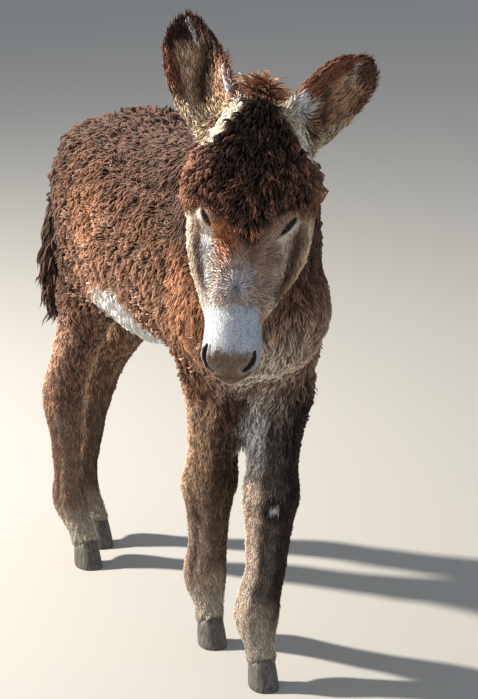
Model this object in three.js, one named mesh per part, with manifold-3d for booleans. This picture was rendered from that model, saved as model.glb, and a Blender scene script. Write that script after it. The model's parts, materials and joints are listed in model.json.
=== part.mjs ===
// A donkey foal at life size, standing with its left foreleg forward, its hindquarters swung a little
// to its right and its head lowered and turned to the same side. Millimetres, +Z up, facing -Y,
// with its own left at +X. The solids reach out to the tips of the coat.
//
// The body is one smooth field: cross-section profiles along the trunk, neck, head and legs, and
// ellipsoids for the muscles, all blended together. Each piece is a ring mesh whose points are pushed
// out from an axis until they meet that field, and thin plane cuts part it from its neighbours.
import * as THREE from "three";
import { mergeVertices } from "three/addons/utils/BufferGeometryUtils.js";
import Module from "manifold-3d";

const wasm = await Module();
wasm.setup();

// ---------- driving dimensions ----------
const WITHERS_HEIGHT = 872;
const CROUP_HEIGHT = 866;
const BRISKET_HEIGHT = 488;
const CHEST_Y = -378; // the front of the breast
const BUTTOCK_Y = 396; // the rear of the thighs
const BARREL_HALF_WIDTH = 150;
const TRUNK_BEND = 10; // degrees that the hindquarters are swung to the right
const BEND_START_Y = -120;
const BEND_END_Y = 120;
const KNEE_HEIGHT = 290;
const HOCK_HEIGHT = 335;
const FETLOCK_HEIGHT = 108;
const HOOF_HEIGHT = 46;
const HOOF_HALF_WIDTH = 25;
const HEAD_PLACE = new THREE.Vector3(-85, -518, 798); // between the eyes, on the forehead's surface
const HEAD_YAW = 20; // degrees that the face is turned to the right
const FACE_SLOPE = 21; // degrees of the face line from the vertical
const HEAD_ROLL = 6.3;
const EYE_RADIUS = 19;
const GAP = 0.3; // between neighbouring pieces
const BLEND = 34; // radius of the fillets between trunk, neck and limbs

const radians = THREE.MathUtils.degToRad;
const V = (x, y, z) => new THREE.Vector3(x, y, z);

// ---------- smooth tables ----------
// Rows of [t, ...values] become a function of t, smooth through every row and steady past the ends.
function smoothTable(rows) {
  const last = rows.length - 1;
  const slope = (i, c) => {
    const a = rows[Math.max(i - 1, 0)];
    const b = rows[Math.min(i + 1, last)];
    return (b[c] - a[c]) / (b[0] - a[0]);
  };
  return (t) => {
    const at = THREE.MathUtils.clamp(t, rows[0][0], rows[last][0]);
    let i = 0;
    while (i < last - 1 && rows[i + 1][0] < at) i++;
    const [p, q] = [rows[i], rows[i + 1]];
    const span = q[0] - p[0];
    const s = (at - p[0]) / span;
    return p.slice(1).map((_, n) => {
      const c = n + 1;
      const [m0, m1] = [slope(i, c) * span, slope(i + 1, c) * span];
      const h = s * s * (3 - 2 * s);
      return p[c] * (1 - h) + q[c] * h + m0 * s * (1 - s) ** 2 - m1 * s * s * (1 - s);
    });
  };
}

// ---------- field primitives: negative inside, about a distance outside ----------
// A limb or trunk along its own third axis: rows of [t, across, deep, half width, half +deep, half -deep].
function profile(rows, toLocal, squareness = 2) {
  const at = smoothTable(rows);
  const [first, last] = [rows[0][0], rows.at(-1)[0]];
  const local = V();
  return (p) => {
    toLocal(p, local);
    const [across, deep, width, plus, minus] = at(local.z);
    const [a, b] = [local.x - across, local.y - deep];
    const reach = b > 0 ? plus : minus;
    const share =
      (Math.abs(a / width) ** squareness + Math.abs(b / reach) ** squareness) ** (1 / squareness);
    const radial = share > 1e-6 ? Math.hypot(a, b) * (1 - 1 / share) : -Math.min(width, reach);
    const past = Math.max(first - local.z, local.z - last, 0);
    return past > 0 ? Math.hypot(Math.max(radial, 0), past) : radial;
  };
}

function ellipsoid(centre, radii, pitch = 0) {
  const turn = new THREE.Quaternion().setFromAxisAngle(V(1, 0, 0), radians(-pitch));
  const [q, scaled] = [V(), V()];
  return (p) => {
    q.copy(p).sub(centre).applyQuaternion(turn);
    scaled.copy(q).divide(radii);
    const k0 = scaled.length();
    const k1 = scaled.divide(radii).length();
    return k1 > 1e-9 ? (k0 * (k0 - 1)) / k1 : -Math.min(radii.x, radii.y, radii.z);
  };
}

const blend = (a, b, k) => {
  const h = Math.max(k - Math.abs(a - b), 0) / k;
  return Math.min(a, b) - (h * h * k) / 4;
};
const union = (parts, k = BLEND) => (p) =>
  parts.reduce((nearest, part) => blend(nearest, part(p), k), 1e4);
const mirrored = (part) => {
  const q = V();
  return (p) => part(q.set(-p.x, p.y, p.z));
};

// ---------- trunk ----------
// Rows: share of the length from breast to buttock, height of the back, of the belly, half width.
const TRUNK_ROWS = [
  [0.0, 640, 585, 30],
  [0.025, 690, 545, 72],
  [0.09, 768, 500, 102],
  [0.17, 840, 484, 118],
  [0.25, WITHERS_HEIGHT, BRISKET_HEIGHT, 130],
  [0.36, 868, 490, 141],
  [0.5, 862, 514, BARREL_HALF_WIDTH],
  [0.62, 864, 523, 146],
  [0.72, CROUP_HEIGHT, 540, 136],
  [0.8, 852, 562, 125],
  [0.88, 826, 590, 108],
  [0.95, 784, 625, 82],
  [0.985, 746, 658, 52],
  [1.0, 716, 686, 20],
];
const trunkY = (share) => CHEST_Y + share * (BUTTOCK_Y - CHEST_Y);
const trunkCore = profile(
  TRUNK_ROWS.map(([share, top, bottom, half]) => {
    const middle = bottom + (top - bottom) * 0.5;
    return [trunkY(share), 0, middle, half, top - middle, middle - bottom];
  }),
  (p, q) => q.set(p.x, p.z, p.y),
  2.15,
);
const shoulder = ellipsoid(V(80, -250, 690), V(42, 74, 140), 24);
const upperArm = ellipsoid(V(84, -272, 600), V(50, 88, 62), -28);
const breast = ellipsoid(V(46, -338, 598), V(56, 46, 88), 8);
const haunch = ellipsoid(V(60, 258, 700), V(60, 112, 128), -14);
const stifle = ellipsoid(V(74, 196, 566), V(40, 50, 72), 14);
const cleft = ellipsoid(V(0, 306, 616), V(56, 46, 60));
const belly = ellipsoid(V(0, 58, 606), V(142, 240, 132)); // hangs round and full below the ribs

// ---------- legs ----------
// Each leg hangs on a chain of joints, top first. Girth rows: height, half width, half back, half front.
const FORE_GIRTHS = [
  [600, 48, 46, 58],
  [540, 47, 45, 56],
  [500, 47, 44, 54],
  [450, 46, 44, 49],
  [400, 45, 46, 45],
  [350, 44, 43, 42],
  [KNEE_HEIGHT + 26, 48, 43, 45],
  [KNEE_HEIGHT, 50, 43, 46],
  [262, 45, 43, 40],
  [228, 40, 41, 34],
  [180, 37, 40, 32],
  [138, 39, 43, 33],
  [FETLOCK_HEIGHT, 41, 47, 35],
  [84, 33, 37, 31],
  [62, 25, 26, 25],
  [HOOF_HEIGHT, 24, 24, 24],
  [16, 24, 24, 24],
];
// The left forearm comes straight down out of the breast, so its top is the wider one.
const LEFT_FORE_GIRTHS = FORE_GIRTHS.map(([z, half, back, front]) => [
  z,
  half + 12 * Math.min(1, Math.max(0, (z - 385) / 60)),
  back,
  front,
]);
const HIND_GIRTHS = [
  [640, 50, 88, 108],
  [580, 50, 84, 104],
  [540, 50, 78, 94],
  [500, 48, 70, 74],
  [460, 45, 60, 58],
  [420, 43, 54, 49],
  [385, 42, 52, 44],
  [HOCK_HEIGHT + 12, 41, 55, 40],
  [HOCK_HEIGHT - 16, 42, 46, 42],
  [285, 38, 38, 40],
  [240, 32, 35, 31],
  [180, 29, 33, 29],
  [138, 31, 37, 31],
  [FETLOCK_HEIGHT + 4, 36, 46, 34],
  [84, 31, 42, 30],
  [62, 25, 26, 25],
  [HOOF_HEIGHT, 24, 24, 24],
  [16, 24, 24, 24],
];
const FORE_PASTERN_BACK = 32; // the fetlock stands this far behind the middle of the sole
const HIND_PASTERN_BACK = 46;
const CORONET_BACK = 9;

function legField(joints, girths) {
  const chain = smoothTable(
    [...joints].reverse().map((j) => [j.z, j.x, j.y]),
  );
  const rows = [...girths].reverse().map(([z, half, back, front]) => {
    const [x, y] = chain(z);
    return [z, x, y, half, back, front];
  });
  return profile(rows, (p, q) => q.copy(p), 2.2);
}
const pastern = ({ sole, hind, aside = 0 }) => [
  V(sole.x + aside, sole.y + (hind ? HIND_PASTERN_BACK : FORE_PASTERN_BACK), FETLOCK_HEIGHT),
  V(sole.x, sole.y + CORONET_BACK, HOOF_HEIGHT),
  V(sole.x, sole.y - 6, 12),
];
const LEGS = {
  front_left: {
    sole: V(10, -318, 0),
    girths: LEFT_FORE_GIRTHS,
    upper: [
      V(94, -230, 600),
      V(76, -230, 490),
      V(57, -237, 384),
      V(42, -260, KNEE_HEIGHT),
      V(31, -274, 186),
    ],
  },
  front_right: {
    sole: V(-12, -124, 0),
    girths: FORE_GIRTHS,
    upper: [
      V(-72, -240, 600),
      V(-48, -226, 480),
      V(-28, -182, 370),
      V(-25, -152, KNEE_HEIGHT),
      V(-16, -122, 186),
    ],
  },
  hind_left: {
    sole: V(13, 414, 0),
    aside: -12,
    girths: HIND_GIRTHS,
    hind: true,
    upper: [
      V(56, 286, 640),
      V(58, 288, 540),
      V(46, 350, 430),
      V(26, 430, HOCK_HEIGHT - 10),
      V(12, 448, 200),
    ],
  },
  hind_right: {
    sole: V(-54, 322, 0),
    aside: -10,
    girths: HIND_GIRTHS,
    hind: true,
    upper: [
      V(-56, 284, 640),
      V(-60, 284, 540),
      V(-70, 308, 430),
      V(-80, 354, HOCK_HEIGHT - 10),
      V(-71, 366, 200),
    ],
  },
};
for (const leg of Object.values(LEGS)) {
  leg.joints = [...leg.upper, ...pastern(leg)];
  leg.field = legField(leg.joints, leg.girths);
}

// ---------- head ----------
// The head's own frame: x to its left, y out of the face, z down the face towards the lips.
const facing = V(-Math.sin(radians(HEAD_YAW)), -Math.cos(radians(HEAD_YAW)), 0);
const levelLeft = V(0, 0, 1).cross(facing);
const levelDown = V(0, 0, -Math.cos(radians(FACE_SLOPE))).addScaledVector(
  facing,
  Math.sin(radians(FACE_SLOPE)),
);
const headOut = facing
  .clone()
  .multiplyScalar(Math.cos(radians(FACE_SLOPE)))
  .add(V(0, 0, Math.sin(radians(FACE_SLOPE))));
const [rollCos, rollSin] = [Math.cos(radians(HEAD_ROLL)), Math.sin(radians(HEAD_ROLL))];
const headLeft = levelLeft.clone().multiplyScalar(rollCos).addScaledVector(levelDown, rollSin);
const headDown = levelDown.clone().multiplyScalar(rollCos).addScaledVector(levelLeft, -rollSin);
const headFrame = new THREE.Matrix4()
  .makeBasis(headLeft, headOut, headDown)
  .setPosition(HEAD_PLACE);
const toHead = headFrame.clone().invert();
const fromHead = (x, out, down) => V(x, out, down).applyMatrix4(headFrame);

// Rows: distance down the face, half width, face surface, jaw surface.
const HEAD_ROWS = [
  [-192, 30, -12, -56],
  [-182, 50, 12, -80],
  [-148, 72, 36, -104],
  [-100, 86, 47, -124],
  [-62, 99, 50, -136],
  [-34, 101, 45, -142],
  [2, 94, 35, -140],
  [32, 90, 28, -130],
  [72, 79, 23, -114],
  [104, 63, 19, -102],
  [138, 49, 13, -92],
  [170, 45, 6, -87],
  [200, 41, -4, -84],
  [222, 32, -20, -76],
  [236, 15, -36, -58],
];
const skull = profile(
  HEAD_ROWS.map(([down, half, face, jaw]) => {
    const middle = (face + jaw) / 2;
    return [down, 0, middle, half, face - middle, middle - jaw];
  }),
  (p, q) => q.copy(p).applyMatrix4(toHead),
  2.25,
);
function inHead(centre, radii) {
  const shape = ellipsoid(centre, radii);
  const q = V();
  return (p) => shape(q.copy(p).applyMatrix4(toHead));
}
const HEAD_BULGES = [-1, 1].flatMap((side) => [
  inHead(V(side * 24, -26, 186), V(21, 26, 30)), // nostril wing
  inHead(V(side * 48, -84, -20), V(38, 62, 74)), // cheek
  inHead(V(side * 60, 6, -38), V(26, 26, 26)), // brow
]);
const chin = inHead(V(0, -66, 206), V(27, 22, 24));
const poll = inHead(V(0, -54, -196), V(34, 38, 42)); // the start of the mane, between the ears

// ---------- neck ----------
const NECK_FOOT = V(2, -252, 690);
const NECK_TOP = fromHead(0, -62, -108);
const neckAlong = NECK_TOP.clone().sub(NECK_FOOT).normalize();
const neckLeft = neckAlong.clone().cross(V(0, 0, 1)).negate().normalize();
if (neckLeft.x < 0) neckLeft.negate();
const neckCrest = neckLeft.clone().cross(neckAlong).normalize();
if (neckCrest.z < 0) neckCrest.negate();
const neckFrame = new THREE.Matrix4()
  .makeBasis(neckLeft, neckCrest, neckAlong)
  .setPosition(NECK_FOOT);
const toNeck = neckFrame.clone().invert();
const fromNeck = (x, crest, along) => V(x, crest, along).applyMatrix4(neckFrame);
const NECK_LENGTH = NECK_TOP.distanceTo(NECK_FOOT);
// Rows: share of the neck from withers to poll, half width, half towards the crest, half to the throat.
const neck = profile(
  [
    [-0.3, 110, 150, 128],
    [0.0, 107, 150, 136],
    [0.3, 99, 128, 116],
    [0.6, 91, 108, 94],
    [0.85, 83, 94, 78],
    [1.05, 70, 78, 66],
    [1.2, 50, 56, 50],
  ].map(([share, half, crest, throat]) => [share * NECK_LENGTH, 0, 0, half, crest, throat]),
  (p, q) => q.copy(p).applyMatrix4(toNeck),
  2.1,
);

// The short upright mane: a ridge along the crest.
const mane = profile(
  [
    [-0.2, 138, 20, 20, 40],
    [0.3, 122, 23, 27, 46],
    [0.75, 100, 30, 34, 46],
    [1.1, 80, 36, 38, 46],
  ].map(([share, crest, half, above, below]) => [share * NECK_LENGTH, 0, crest, half, above, below]),
  (p, q) => q.copy(p).applyMatrix4(toNeck),
);

// ---------- the whole body ----------
const pairs = [shoulder, upperArm, breast, haunch, stifle];
const torso = union([trunkCore, cleft, belly, ...pairs, ...pairs.map(mirrored)]);
const head = union([skull, ...HEAD_BULGES, chin, poll], 18);
const limbs = Object.values(LEGS).map((leg) => leg.field);
const smooth = union([torso, neck, head, ...limbs], 26);
const body = (p) => blend(smooth(p), mane(p), 20);

// ---------- ring meshes pushed out to the field ----------
// Rings of points around the axis from one end to the other, closed by rounded ends.
function pushedOut({ from, to, across, deep, rings, sides, caps, field, limits = [], grow = 0 }) {
  const axis = to.clone().sub(from);
  const along = axis.clone().normalize();
  const points = [];
  const overrun = 22;
  const value = (p) =>
    Math.max(field(p) - grow, ...limits.map((plane) => plane.distanceToPoint(p) - overrun));
  const push = (origin, direction) => {
    let far = 0;
    const p = V();
    const at = (r) => value(p.copy(origin).addScaledVector(direction, r));
    while (at(far) < 0 && far < 600) far += 4;
    let near = Math.max(far - 4, 0);
    for (let n = 0; n < 12; n++) {
      const middle = (near + far) / 2;
      if (at(middle) < 0) near = middle;
      else far = middle;
    }
    return origin.clone().addScaledVector(direction, near);
  };
  for (let i = 0; i <= rings; i++) {
    const capTurn = (n) => (Math.PI / 2) * (1 - n / caps) ** 1.7; // closest together at the shoulder
    const tilt = i < caps ? -capTurn(i) : i > rings - caps ? capTurn(rings - i) : 0;
    const share = THREE.MathUtils.clamp((i - caps) / (rings - 2 * caps), 0, 1);
    const origin = from.clone().addScaledVector(axis, share);
    const count = i === 0 || i === rings ? 1 : sides;
    const ring = [];
    for (let j = 0; j < count; j++) {
      const angle = (2 * Math.PI * j) / sides;
      const direction = across
        .clone()
        .multiplyScalar(Math.cos(angle))
        .addScaledVector(deep, Math.sin(angle))
        .multiplyScalar(Math.cos(tilt))
        .addScaledVector(along, Math.sin(tilt));
      ring.push(push(origin, direction.normalize()));
    }
    points.push(ring);
  }
  return closedRings(points);
}

// A closed geometry from rings of points, of which the first and last may be single points.
function closedRings(rings) {
  const positions = [];
  const starts = rings.map((ring) => {
    const start = positions.length / 3;
    ring.forEach((p) => positions.push(p.x, p.y, p.z));
    return start;
  });
  const triangles = [];
  for (let i = 0; i + 1 < rings.length; i++) {
    const [a, b] = [rings[i].length, rings[i + 1].length];
    const sides = Math.max(a, b);
    for (let j = 0; j < sides; j++) {
      const k = (j + 1) % sides;
      const [p, q] = [starts[i] + (a > 1 ? j : 0), starts[i] + (a > 1 ? k : 0)];
      const [r, s] = [starts[i + 1] + (b > 1 ? j : 0), starts[i + 1] + (b > 1 ? k : 0)];
      if (a > 1) triangles.push(p, q, r);
      if (b > 1) triangles.push(q, s, r);
    }
  }
  const made = new THREE.BufferGeometry();
  made.setAttribute("position", new THREE.Float32BufferAttribute(positions, 3));
  made.setIndex(triangles);
  return made;
}

// ---------- solids: cutting and joining ----------
function toSolid(geometry) {
  const bare = geometry.clone();
  bare.deleteAttribute("normal");
  bare.deleteAttribute("uv");
  const merged = mergeVertices(bare, 1e-3);
  const mesh = (triVerts) =>
    new wasm.Manifold(
      new wasm.Mesh({ numProp: 3, vertProperties: merged.attributes.position.array, triVerts }),
    );
  const solid = mesh(new Uint32Array(merged.index.array));
  return solid.volume() >= 0 ? solid : mesh(new Uint32Array(merged.index.array).reverse());
}
function toGeometry(solid, move = (p) => p) {
  const mesh = solid.getMesh();
  const positions = [];
  for (let i = 0; i < mesh.numVert; i++) {
    const p = move(V().fromArray(mesh.vertProperties, i * mesh.numProp));
    positions.push(p.x, p.y, p.z);
  }
  const made = new THREE.BufferGeometry();
  made.setAttribute("position", new THREE.Float32BufferAttribute(positions, 3));
  made.setIndex([...mesh.triVerts]);
  const shown = made.toNonIndexed();
  shown.computeVertexNormals();
  return shown;
}
// The space in front of a plane, as a large box, from which half a gap is held back.
function spaceBeyond(plane) {
  const size = 3000;
  const box = new THREE.BoxGeometry(size, size, size);
  const turn = new THREE.Quaternion().setFromUnitVectors(V(0, 0, 1), plane.normal);
  const middle = plane.normal.clone().multiplyScalar(size / 2 - plane.constant - GAP / 2);
  return toSolid(box.applyMatrix4(new THREE.Matrix4().compose(middle, turn, V(1, 1, 1))));
}
const planeAt = (normal, point) =>
  new THREE.Plane().setFromNormalAndCoplanarPoint(normal.clone().normalize(), point);
const opposite = (plane) => plane.clone().negate();
const cutBy = (solid, planes) =>
  planes.reduce((left, plane) => left.subtract(spaceBeyond(plane)), solid);

// ---------- the cuts: each plane's normal points to what it takes away ----------
const foreCut = planeAt(V(0, 0, -1), V(0, -200, 470)); // under the brisket
const hindCut = planeAt(V(0, 0.3, -1), V(0, 100, 462)); // from the flank to under the buttock
const neckCut = planeAt(neckAlong, fromNeck(0, 0, NECK_LENGTH * 0.2));
// from behind the poll down to behind the jaw; its normal points into the head
const headCut = planeAt(
  headOut.clone().multiplyScalar(0.78).addScaledVector(headDown, 0.62),
  fromHead(0, -88, -86),
);
// Above the throat the neck ends at that plane; below it, at the jaw or a little before the breast.
const throatTop = planeAt(headDown.clone().negate(), fromHead(0, -150, -34));
const throatCut = planeAt(headOut, fromHead(0, -60, 0));
const coronetCut = (leg) =>
  planeAt(V(0, -0.34, -1), V(leg.sole.x, leg.sole.y + CORONET_BACK, HOOF_HEIGHT - 4));

// ---------- the swing of the hindquarters ----------
// Past the start, the middle line turns evenly to the right, and from the end on it is straight.
function swung(p) {
  if (p.y <= BEND_START_Y) return p;
  const length = BEND_END_Y - BEND_START_Y;
  const whole = radians(TRUNK_BEND);
  const bent = Math.min(p.y - BEND_START_Y, length);
  const rest = p.y - BEND_START_Y - bent;
  const angle = (whole * bent) / length;
  const radius = length / whole;
  const x = -radius * (1 - Math.cos(angle)) - Math.sin(angle) * rest + Math.cos(angle) * p.x;
  const y = BEND_START_Y + radius * Math.sin(angle) + Math.cos(angle) * rest + Math.sin(angle) * p.x;
  return V(x, y, p.z);
}

// ---------- materials ----------
const material = (color, roughness) =>
  new THREE.MeshStandardMaterial({ color, roughness, metalness: 0 });
const brownCoat = material(0x4b3226, 0.95);
const legCoat = material(0x6a4f3e, 0.95);
const faceCoat = material(0x6b4a37, 0.95);
const earCoat = material(0x5a3a2a, 0.95);
const darkHair = material(0x2a1c17, 0.9);
const hornGrey = material(0x3c3936, 0.6);
const eyeDark = material(0x140d0a, 0.1);

const group = new THREE.Group();
function add(name, geometry, finish) {
  const mesh = new THREE.Mesh(geometry, finish);
  mesh.name = name;
  group.add(mesh);
}

// ---------- trunk and neck ----------
const trunkRings = (grow) =>
  pushedOut({
    from: V(0, -286, 660),
    to: V(0, 300, 706),
    across: V(1, 0, 0),
    deep: V(0, 0, 1),
    rings: 30,
    sides: 28,
    caps: 7,
    field: body,
    limits: [foreCut, hindCut, neckCut],
    grow,
  });
const trunkSolid = cutBy(toSolid(trunkRings(0)), [foreCut, hindCut, neckCut]);
add("trunk", toGeometry(trunkSolid, swung), brownCoat);

// 0 up at the poll, 1 from the throat downwards; there head and neck keep to their own shapes.
const belowPoll = (p) => {
  const down = V().copy(p).applyMatrix4(toHead).z;
  return THREE.MathUtils.smoothstep(down, -110, -40);
};
const headless = union([torso, neck, ...limbs], 26);
const headOnly = (p) => THREE.MathUtils.lerp(body(p), head(p), belowPoll(p));
const neckOnly = (p) => THREE.MathUtils.lerp(body(p), headless(p), belowPoll(p));
const headRings = (grow) =>
  pushedOut({
    from: fromHead(0, -44, -104),
    to: fromHead(0, -42, 178),
    across: headLeft,
    deep: headOut,
    rings: 30,
    sides: 28,
    caps: 7,
    field: headOnly,
    limits: [opposite(headCut)],
    grow,
  });
const easedPoint = headCut.coplanarPoint(V()).addScaledVector(headCut.normal, -GAP);
const headCutEased = planeAt(headCut.normal, easedPoint);
const headSpace = cutBy(toSolid(headRings(GAP * 1.3)), [opposite(headCutEased)]);
const neckMesh = pushedOut({
  from: fromNeck(0, 0, NECK_LENGTH * 0.24),
  to: fromNeck(0, 6, NECK_LENGTH * 0.66),
  across: neckLeft,
  deep: neckCrest,
  rings: 21,
  sides: 24,
  caps: 8,
  field: neckOnly,
  limits: [opposite(neckCut), throatCut],
});
const inFront = spaceBeyond(headCut).intersect(spaceBeyond(throatTop));
const neckSolid = cutBy(toSolid(neckMesh), [opposite(neckCut)]).subtract(inFront).subtract(headSpace);
add("neck", toGeometry(neckSolid), brownCoat);

// ---------- head and eyes ----------
const EYE_PLACES = { left: [52, 8, 1], right: [-53, 8, 1] };
const eyeball = (side, radius) => {
  const [x, out, down] = EYE_PLACES[side];
  const ball = new THREE.SphereGeometry(radius, 14, 8);
  return ball.applyMatrix4(new THREE.Matrix4().setPosition(fromHead(x, out, down)));
};
let headSolid = cutBy(toSolid(headRings(0)), [opposite(headCut)]);
for (const side of ["left", "right"]) {
  headSolid = headSolid.subtract(toSolid(eyeball(side, EYE_RADIUS + GAP)));
  add(`eye_${side}`, eyeball(side, EYE_RADIUS), eyeDark);
}
add("head", toGeometry(headSolid), faceCoat);

// ---------- ears ----------
// A leaf rolled into a trough: an outer arc and an inner arc on every ring, closed at both ends.
// Rows: share of the length, half width, depth of the trough, thickness of the wall.
const EAR_ROWS = smoothTable([
  [0, 32, 34, 28],
  [0.2, 40, 36, 25],
  [0.42, 48, 33, 19],
  [0.62, 50, 28, 16],
  [0.8, 44, 22, 14],
  [0.92, 31, 15, 11],
  [1, 13, 7, 6],
]);
const EARS = {
  left: { base: [56, -30, -120], tip: [143, 40, -243], opening: [0.5, 0.72, 0.55], curl: 10 },
  right: { base: [-62, -30, -124], tip: [-130, -44, -300], opening: [-0.42, 0.9, 0.1], curl: 12 },
};
function earMesh({ base, tip, opening, curl }) {
  const [start, end] = [fromHead(...base), fromHead(...tip)];
  const along = end.clone().sub(start);
  const open = V(...opening).transformDirection(headFrame);
  open.addScaledVector(along, -open.dot(along) / along.lengthSq()).normalize();
  const sideways = along.clone().normalize().cross(open);
  const [levels, arc] = [12, 8];
  const rings = [];
  for (let i = 0; i <= levels; i++) {
    const share = i / levels;
    const [half, depth, wall] = EAR_ROWS(share);
    const centre = start
      .clone()
      .addScaledVector(along, share)
      .addScaledVector(open, curl * Math.sin(Math.PI * share) * -1);
    const point = (turn, width, back) =>
      centre
        .clone()
        .addScaledVector(sideways, width * Math.sin(turn))
        .addScaledVector(open, -back * Math.cos(turn));
    const ring = [];
    const widest = radians(104);
    for (let j = 0; j < arc; j++) {
      ring.push(point(THREE.MathUtils.lerp(-widest, widest, j / (arc - 1)), half, depth));
    }
    for (let j = 0; j < arc; j++) {
      const turn = THREE.MathUtils.lerp(widest, -widest, j / (arc - 1)) * 0.93;
      ring.push(point(turn, half - wall * 0.8, depth - wall));
    }
    rings.push(ring);
  }
  const middle = (ring) => [ring.reduce((sum, p) => sum.add(p), V()).divideScalar(ring.length)];
  const cap = middle(rings.at(-1))[0].addScaledVector(along.clone().normalize(), 5);
  return closedRings([middle(rings[0]), ...rings, [cap]]);
}
const neckSpace = toSolid(neckMesh);
for (const [side, ear] of Object.entries(EARS)) {
  const solid = toSolid(earMesh(ear)).subtract(headSpace).subtract(neckSpace);
  add(`ear_${side}`, toGeometry(solid), earCoat);
}

// ---------- tail ----------
// Rows: height, place across, place along, half width, half back, half front.
const TAIL_ROWS = [
  [470, -63, 428, 6, 6, 6],
  [482, -63, 428, 15, 16, 16],
  [512, -63, 429, 22, 23, 22],
  [570, -60, 430, 26, 26, 25],
  [640, -50, 424, 25, 25, 24],
  [690, -36, 414, 24, 25, 25],
  [735, -19, 398, 25, 27, 27],
  [775, -6, 372, 26, 30, 30],
  [796, -2, 345, 24, 30, 30],
];
const tailRings = TAIL_ROWS.map((row) => row[0]);
function tailMesh() {
  const at = smoothTable(TAIL_ROWS);
  const [levels, sides] = [13, 11];
  const rings = [];
  for (let i = 0; i <= levels; i++) {
    const z = THREE.MathUtils.lerp(tailRings[0], tailRings.at(-1), i / levels);
    const [x, y, half, back, front] = at(z);
    const ring = [];
    for (let j = 0; j < sides; j++) {
      const angle = (2 * Math.PI * j) / sides;
      const [c, s] = [Math.cos(angle), Math.sin(angle)];
      ring.push(V(x + half * c, y + (s > 0 ? back : front) * s, z));
    }
    rings.push(ring);
  }
  const middle = (ring) => [ring.reduce((sum, p) => sum.add(p), V()).divideScalar(ring.length)];
  return closedRings([middle(rings[0]), ...rings, middle(rings.at(-1))]);
}
const trunkSpace = toSolid(trunkRings(GAP * 1.3));
add("tail", toGeometry(toSolid(tailMesh()).subtract(trunkSpace), swung), darkHair);

// ---------- legs and hooves ----------
// The wall of a hoof: a D-shaped sole that narrows and leans back up to the coronet.
function hoofMesh(leg) {
  const sides = 16;
  const levels = [0, 0.14, 1];
  const coronet = coronetCut(leg);
  const rings = levels.map((level) => {
    const half = THREE.MathUtils.lerp(HOOF_HALF_WIDTH, 20.5, level) - (level === 0 ? 1.5 : 0);
    const front = THREE.MathUtils.lerp(33, 22, level);
    const back = THREE.MathUtils.lerp(25, 21, level);
    const lean = CORONET_BACK * 1.1 * level;
    const ring = [];
    for (let j = 0; j < sides; j++) {
      const angle = (2 * Math.PI * j) / sides;
      const [c, s] = [Math.cos(angle), Math.sin(angle)];
      const x = leg.sole.x + half * Math.sign(c) * Math.abs(c) ** 0.82;
      const y = leg.sole.y + lean + (s > 0 ? back : front) * Math.sign(s) * Math.abs(s) ** 0.9;
      const top = coronet.projectPoint(V(x, y, HOOF_HEIGHT), V()).z;
      ring.push(V(x, y, level * (top + (s > 0 ? 2 : 0))));
    }
    return ring;
  });
  const centre = (ring) => [
    ring.reduce((sum, p) => sum.add(p), V()).divideScalar(ring.length),
  ];
  return closedRings([centre(rings[0]), ...rings, centre(rings.at(-1))]);
}
for (const [name, leg] of Object.entries(LEGS)) {
  const place = leg.hind ? swung : (p) => p;
  const bodyCut = leg.hind ? hindCut : foreCut;
  const top = leg.upper[1].clone().setZ(leg.hind ? 545 : 480);
  const side = Math.sign(leg.upper[0].x);
  const middle = planeAt(V(-side, 0, 0), V(leg.hind ? side * 3 : 9 + side, 0, 0)); // a pair stays apart
  const [keepBelow, coronet] = [opposite(bodyCut), coronetCut(leg)];
  const foot = V(leg.sole.x, leg.sole.y, 30);
  const mesh = legMesh(leg, foot, top, middle);
  const solid = cutBy(toSolid(mesh), [keepBelow, coronet]);
  add(`leg_${name}`, toGeometry(solid, place), legCoat);
  const hoof = cutBy(toSolid(hoofMesh(leg)), [opposite(coronet)]);
  add(`hoof_${name}`, toGeometry(hoof, place), hornGrey);
}

// Level rings down the leg, each pushed out from the chain of joints.
function legMesh(leg, foot, top, middle) {
  const [rings, sides] = [23, 12];
  const heights = [];
  for (let i = 0; i <= rings; i++) heights.push(THREE.MathUtils.lerp(top.z + 60, 24, i / rings));
  const chain = smoothTable([...leg.joints].reverse().map((j) => [j.z, j.x, j.y]));
  const p = V();
  const ringsOfPoints = heights.map((z) => {
    const [x, y] = chain(z);
    const ring = [];
    for (let j = 0; j < sides; j++) {
      const angle = (2 * Math.PI * (j + 0.5)) / sides;
      const [c, s] = [Math.cos(angle), Math.sin(angle)];
      const stretch = leg.hind ? 1 + 1.1 * THREE.MathUtils.smoothstep(z, 380, 560) : 1;
      const direction = V(c, s * stretch, 0).normalize();
      let reach = 0;
      const own = (r) => {
        p.set(x, y, z).addScaledVector(direction, r);
        const below = THREE.MathUtils.smoothstep(-p.z, -450, -390);
        const fused = body(p) + 40 * below; // lower down only the leg's own shape counts
        return Math.max(Math.min(leg.field(p), fused), middle.distanceToPoint(p) - 60 * below);
      };
      while (own(reach) < 0 && reach < 190) reach += 2;
      ring.push(V(x, y, z).addScaledVector(direction, Math.max(reach - 1, 1)));
    }
    return ring;
  });
  const cap = (ring) => [ring.reduce((sum, q) => sum.add(q), V()).divideScalar(ring.length)];
  return closedRings([cap(ringsOfPoints[0]), ...ringsOfPoints, cap(ringsOfPoints.at(-1))]);
}

// ---------- the frame: the origin on the floor, under the middle of the whole animal ----------
const whole = new THREE.Box3().setFromObject(group);
const middle = whole.getCenter(V());
group.position.set(-middle.x, -middle.y, -whole.min.z);

export default group;
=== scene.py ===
# %% [markdown]
# # A donkey foal in its woolly coat
#
# A foal's body is simple: one smooth skin over the muscles. Nearly all that the eye sees is hair.
# So this lesson makes the skin first, as one closed mesh, then paints its markings and the lie of
# its hair onto it as attributes, and last lets Geometry Nodes plant tens of thousands of small
# solid locks that follow them.

# %% Tools and the frame
import json
import math

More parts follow.
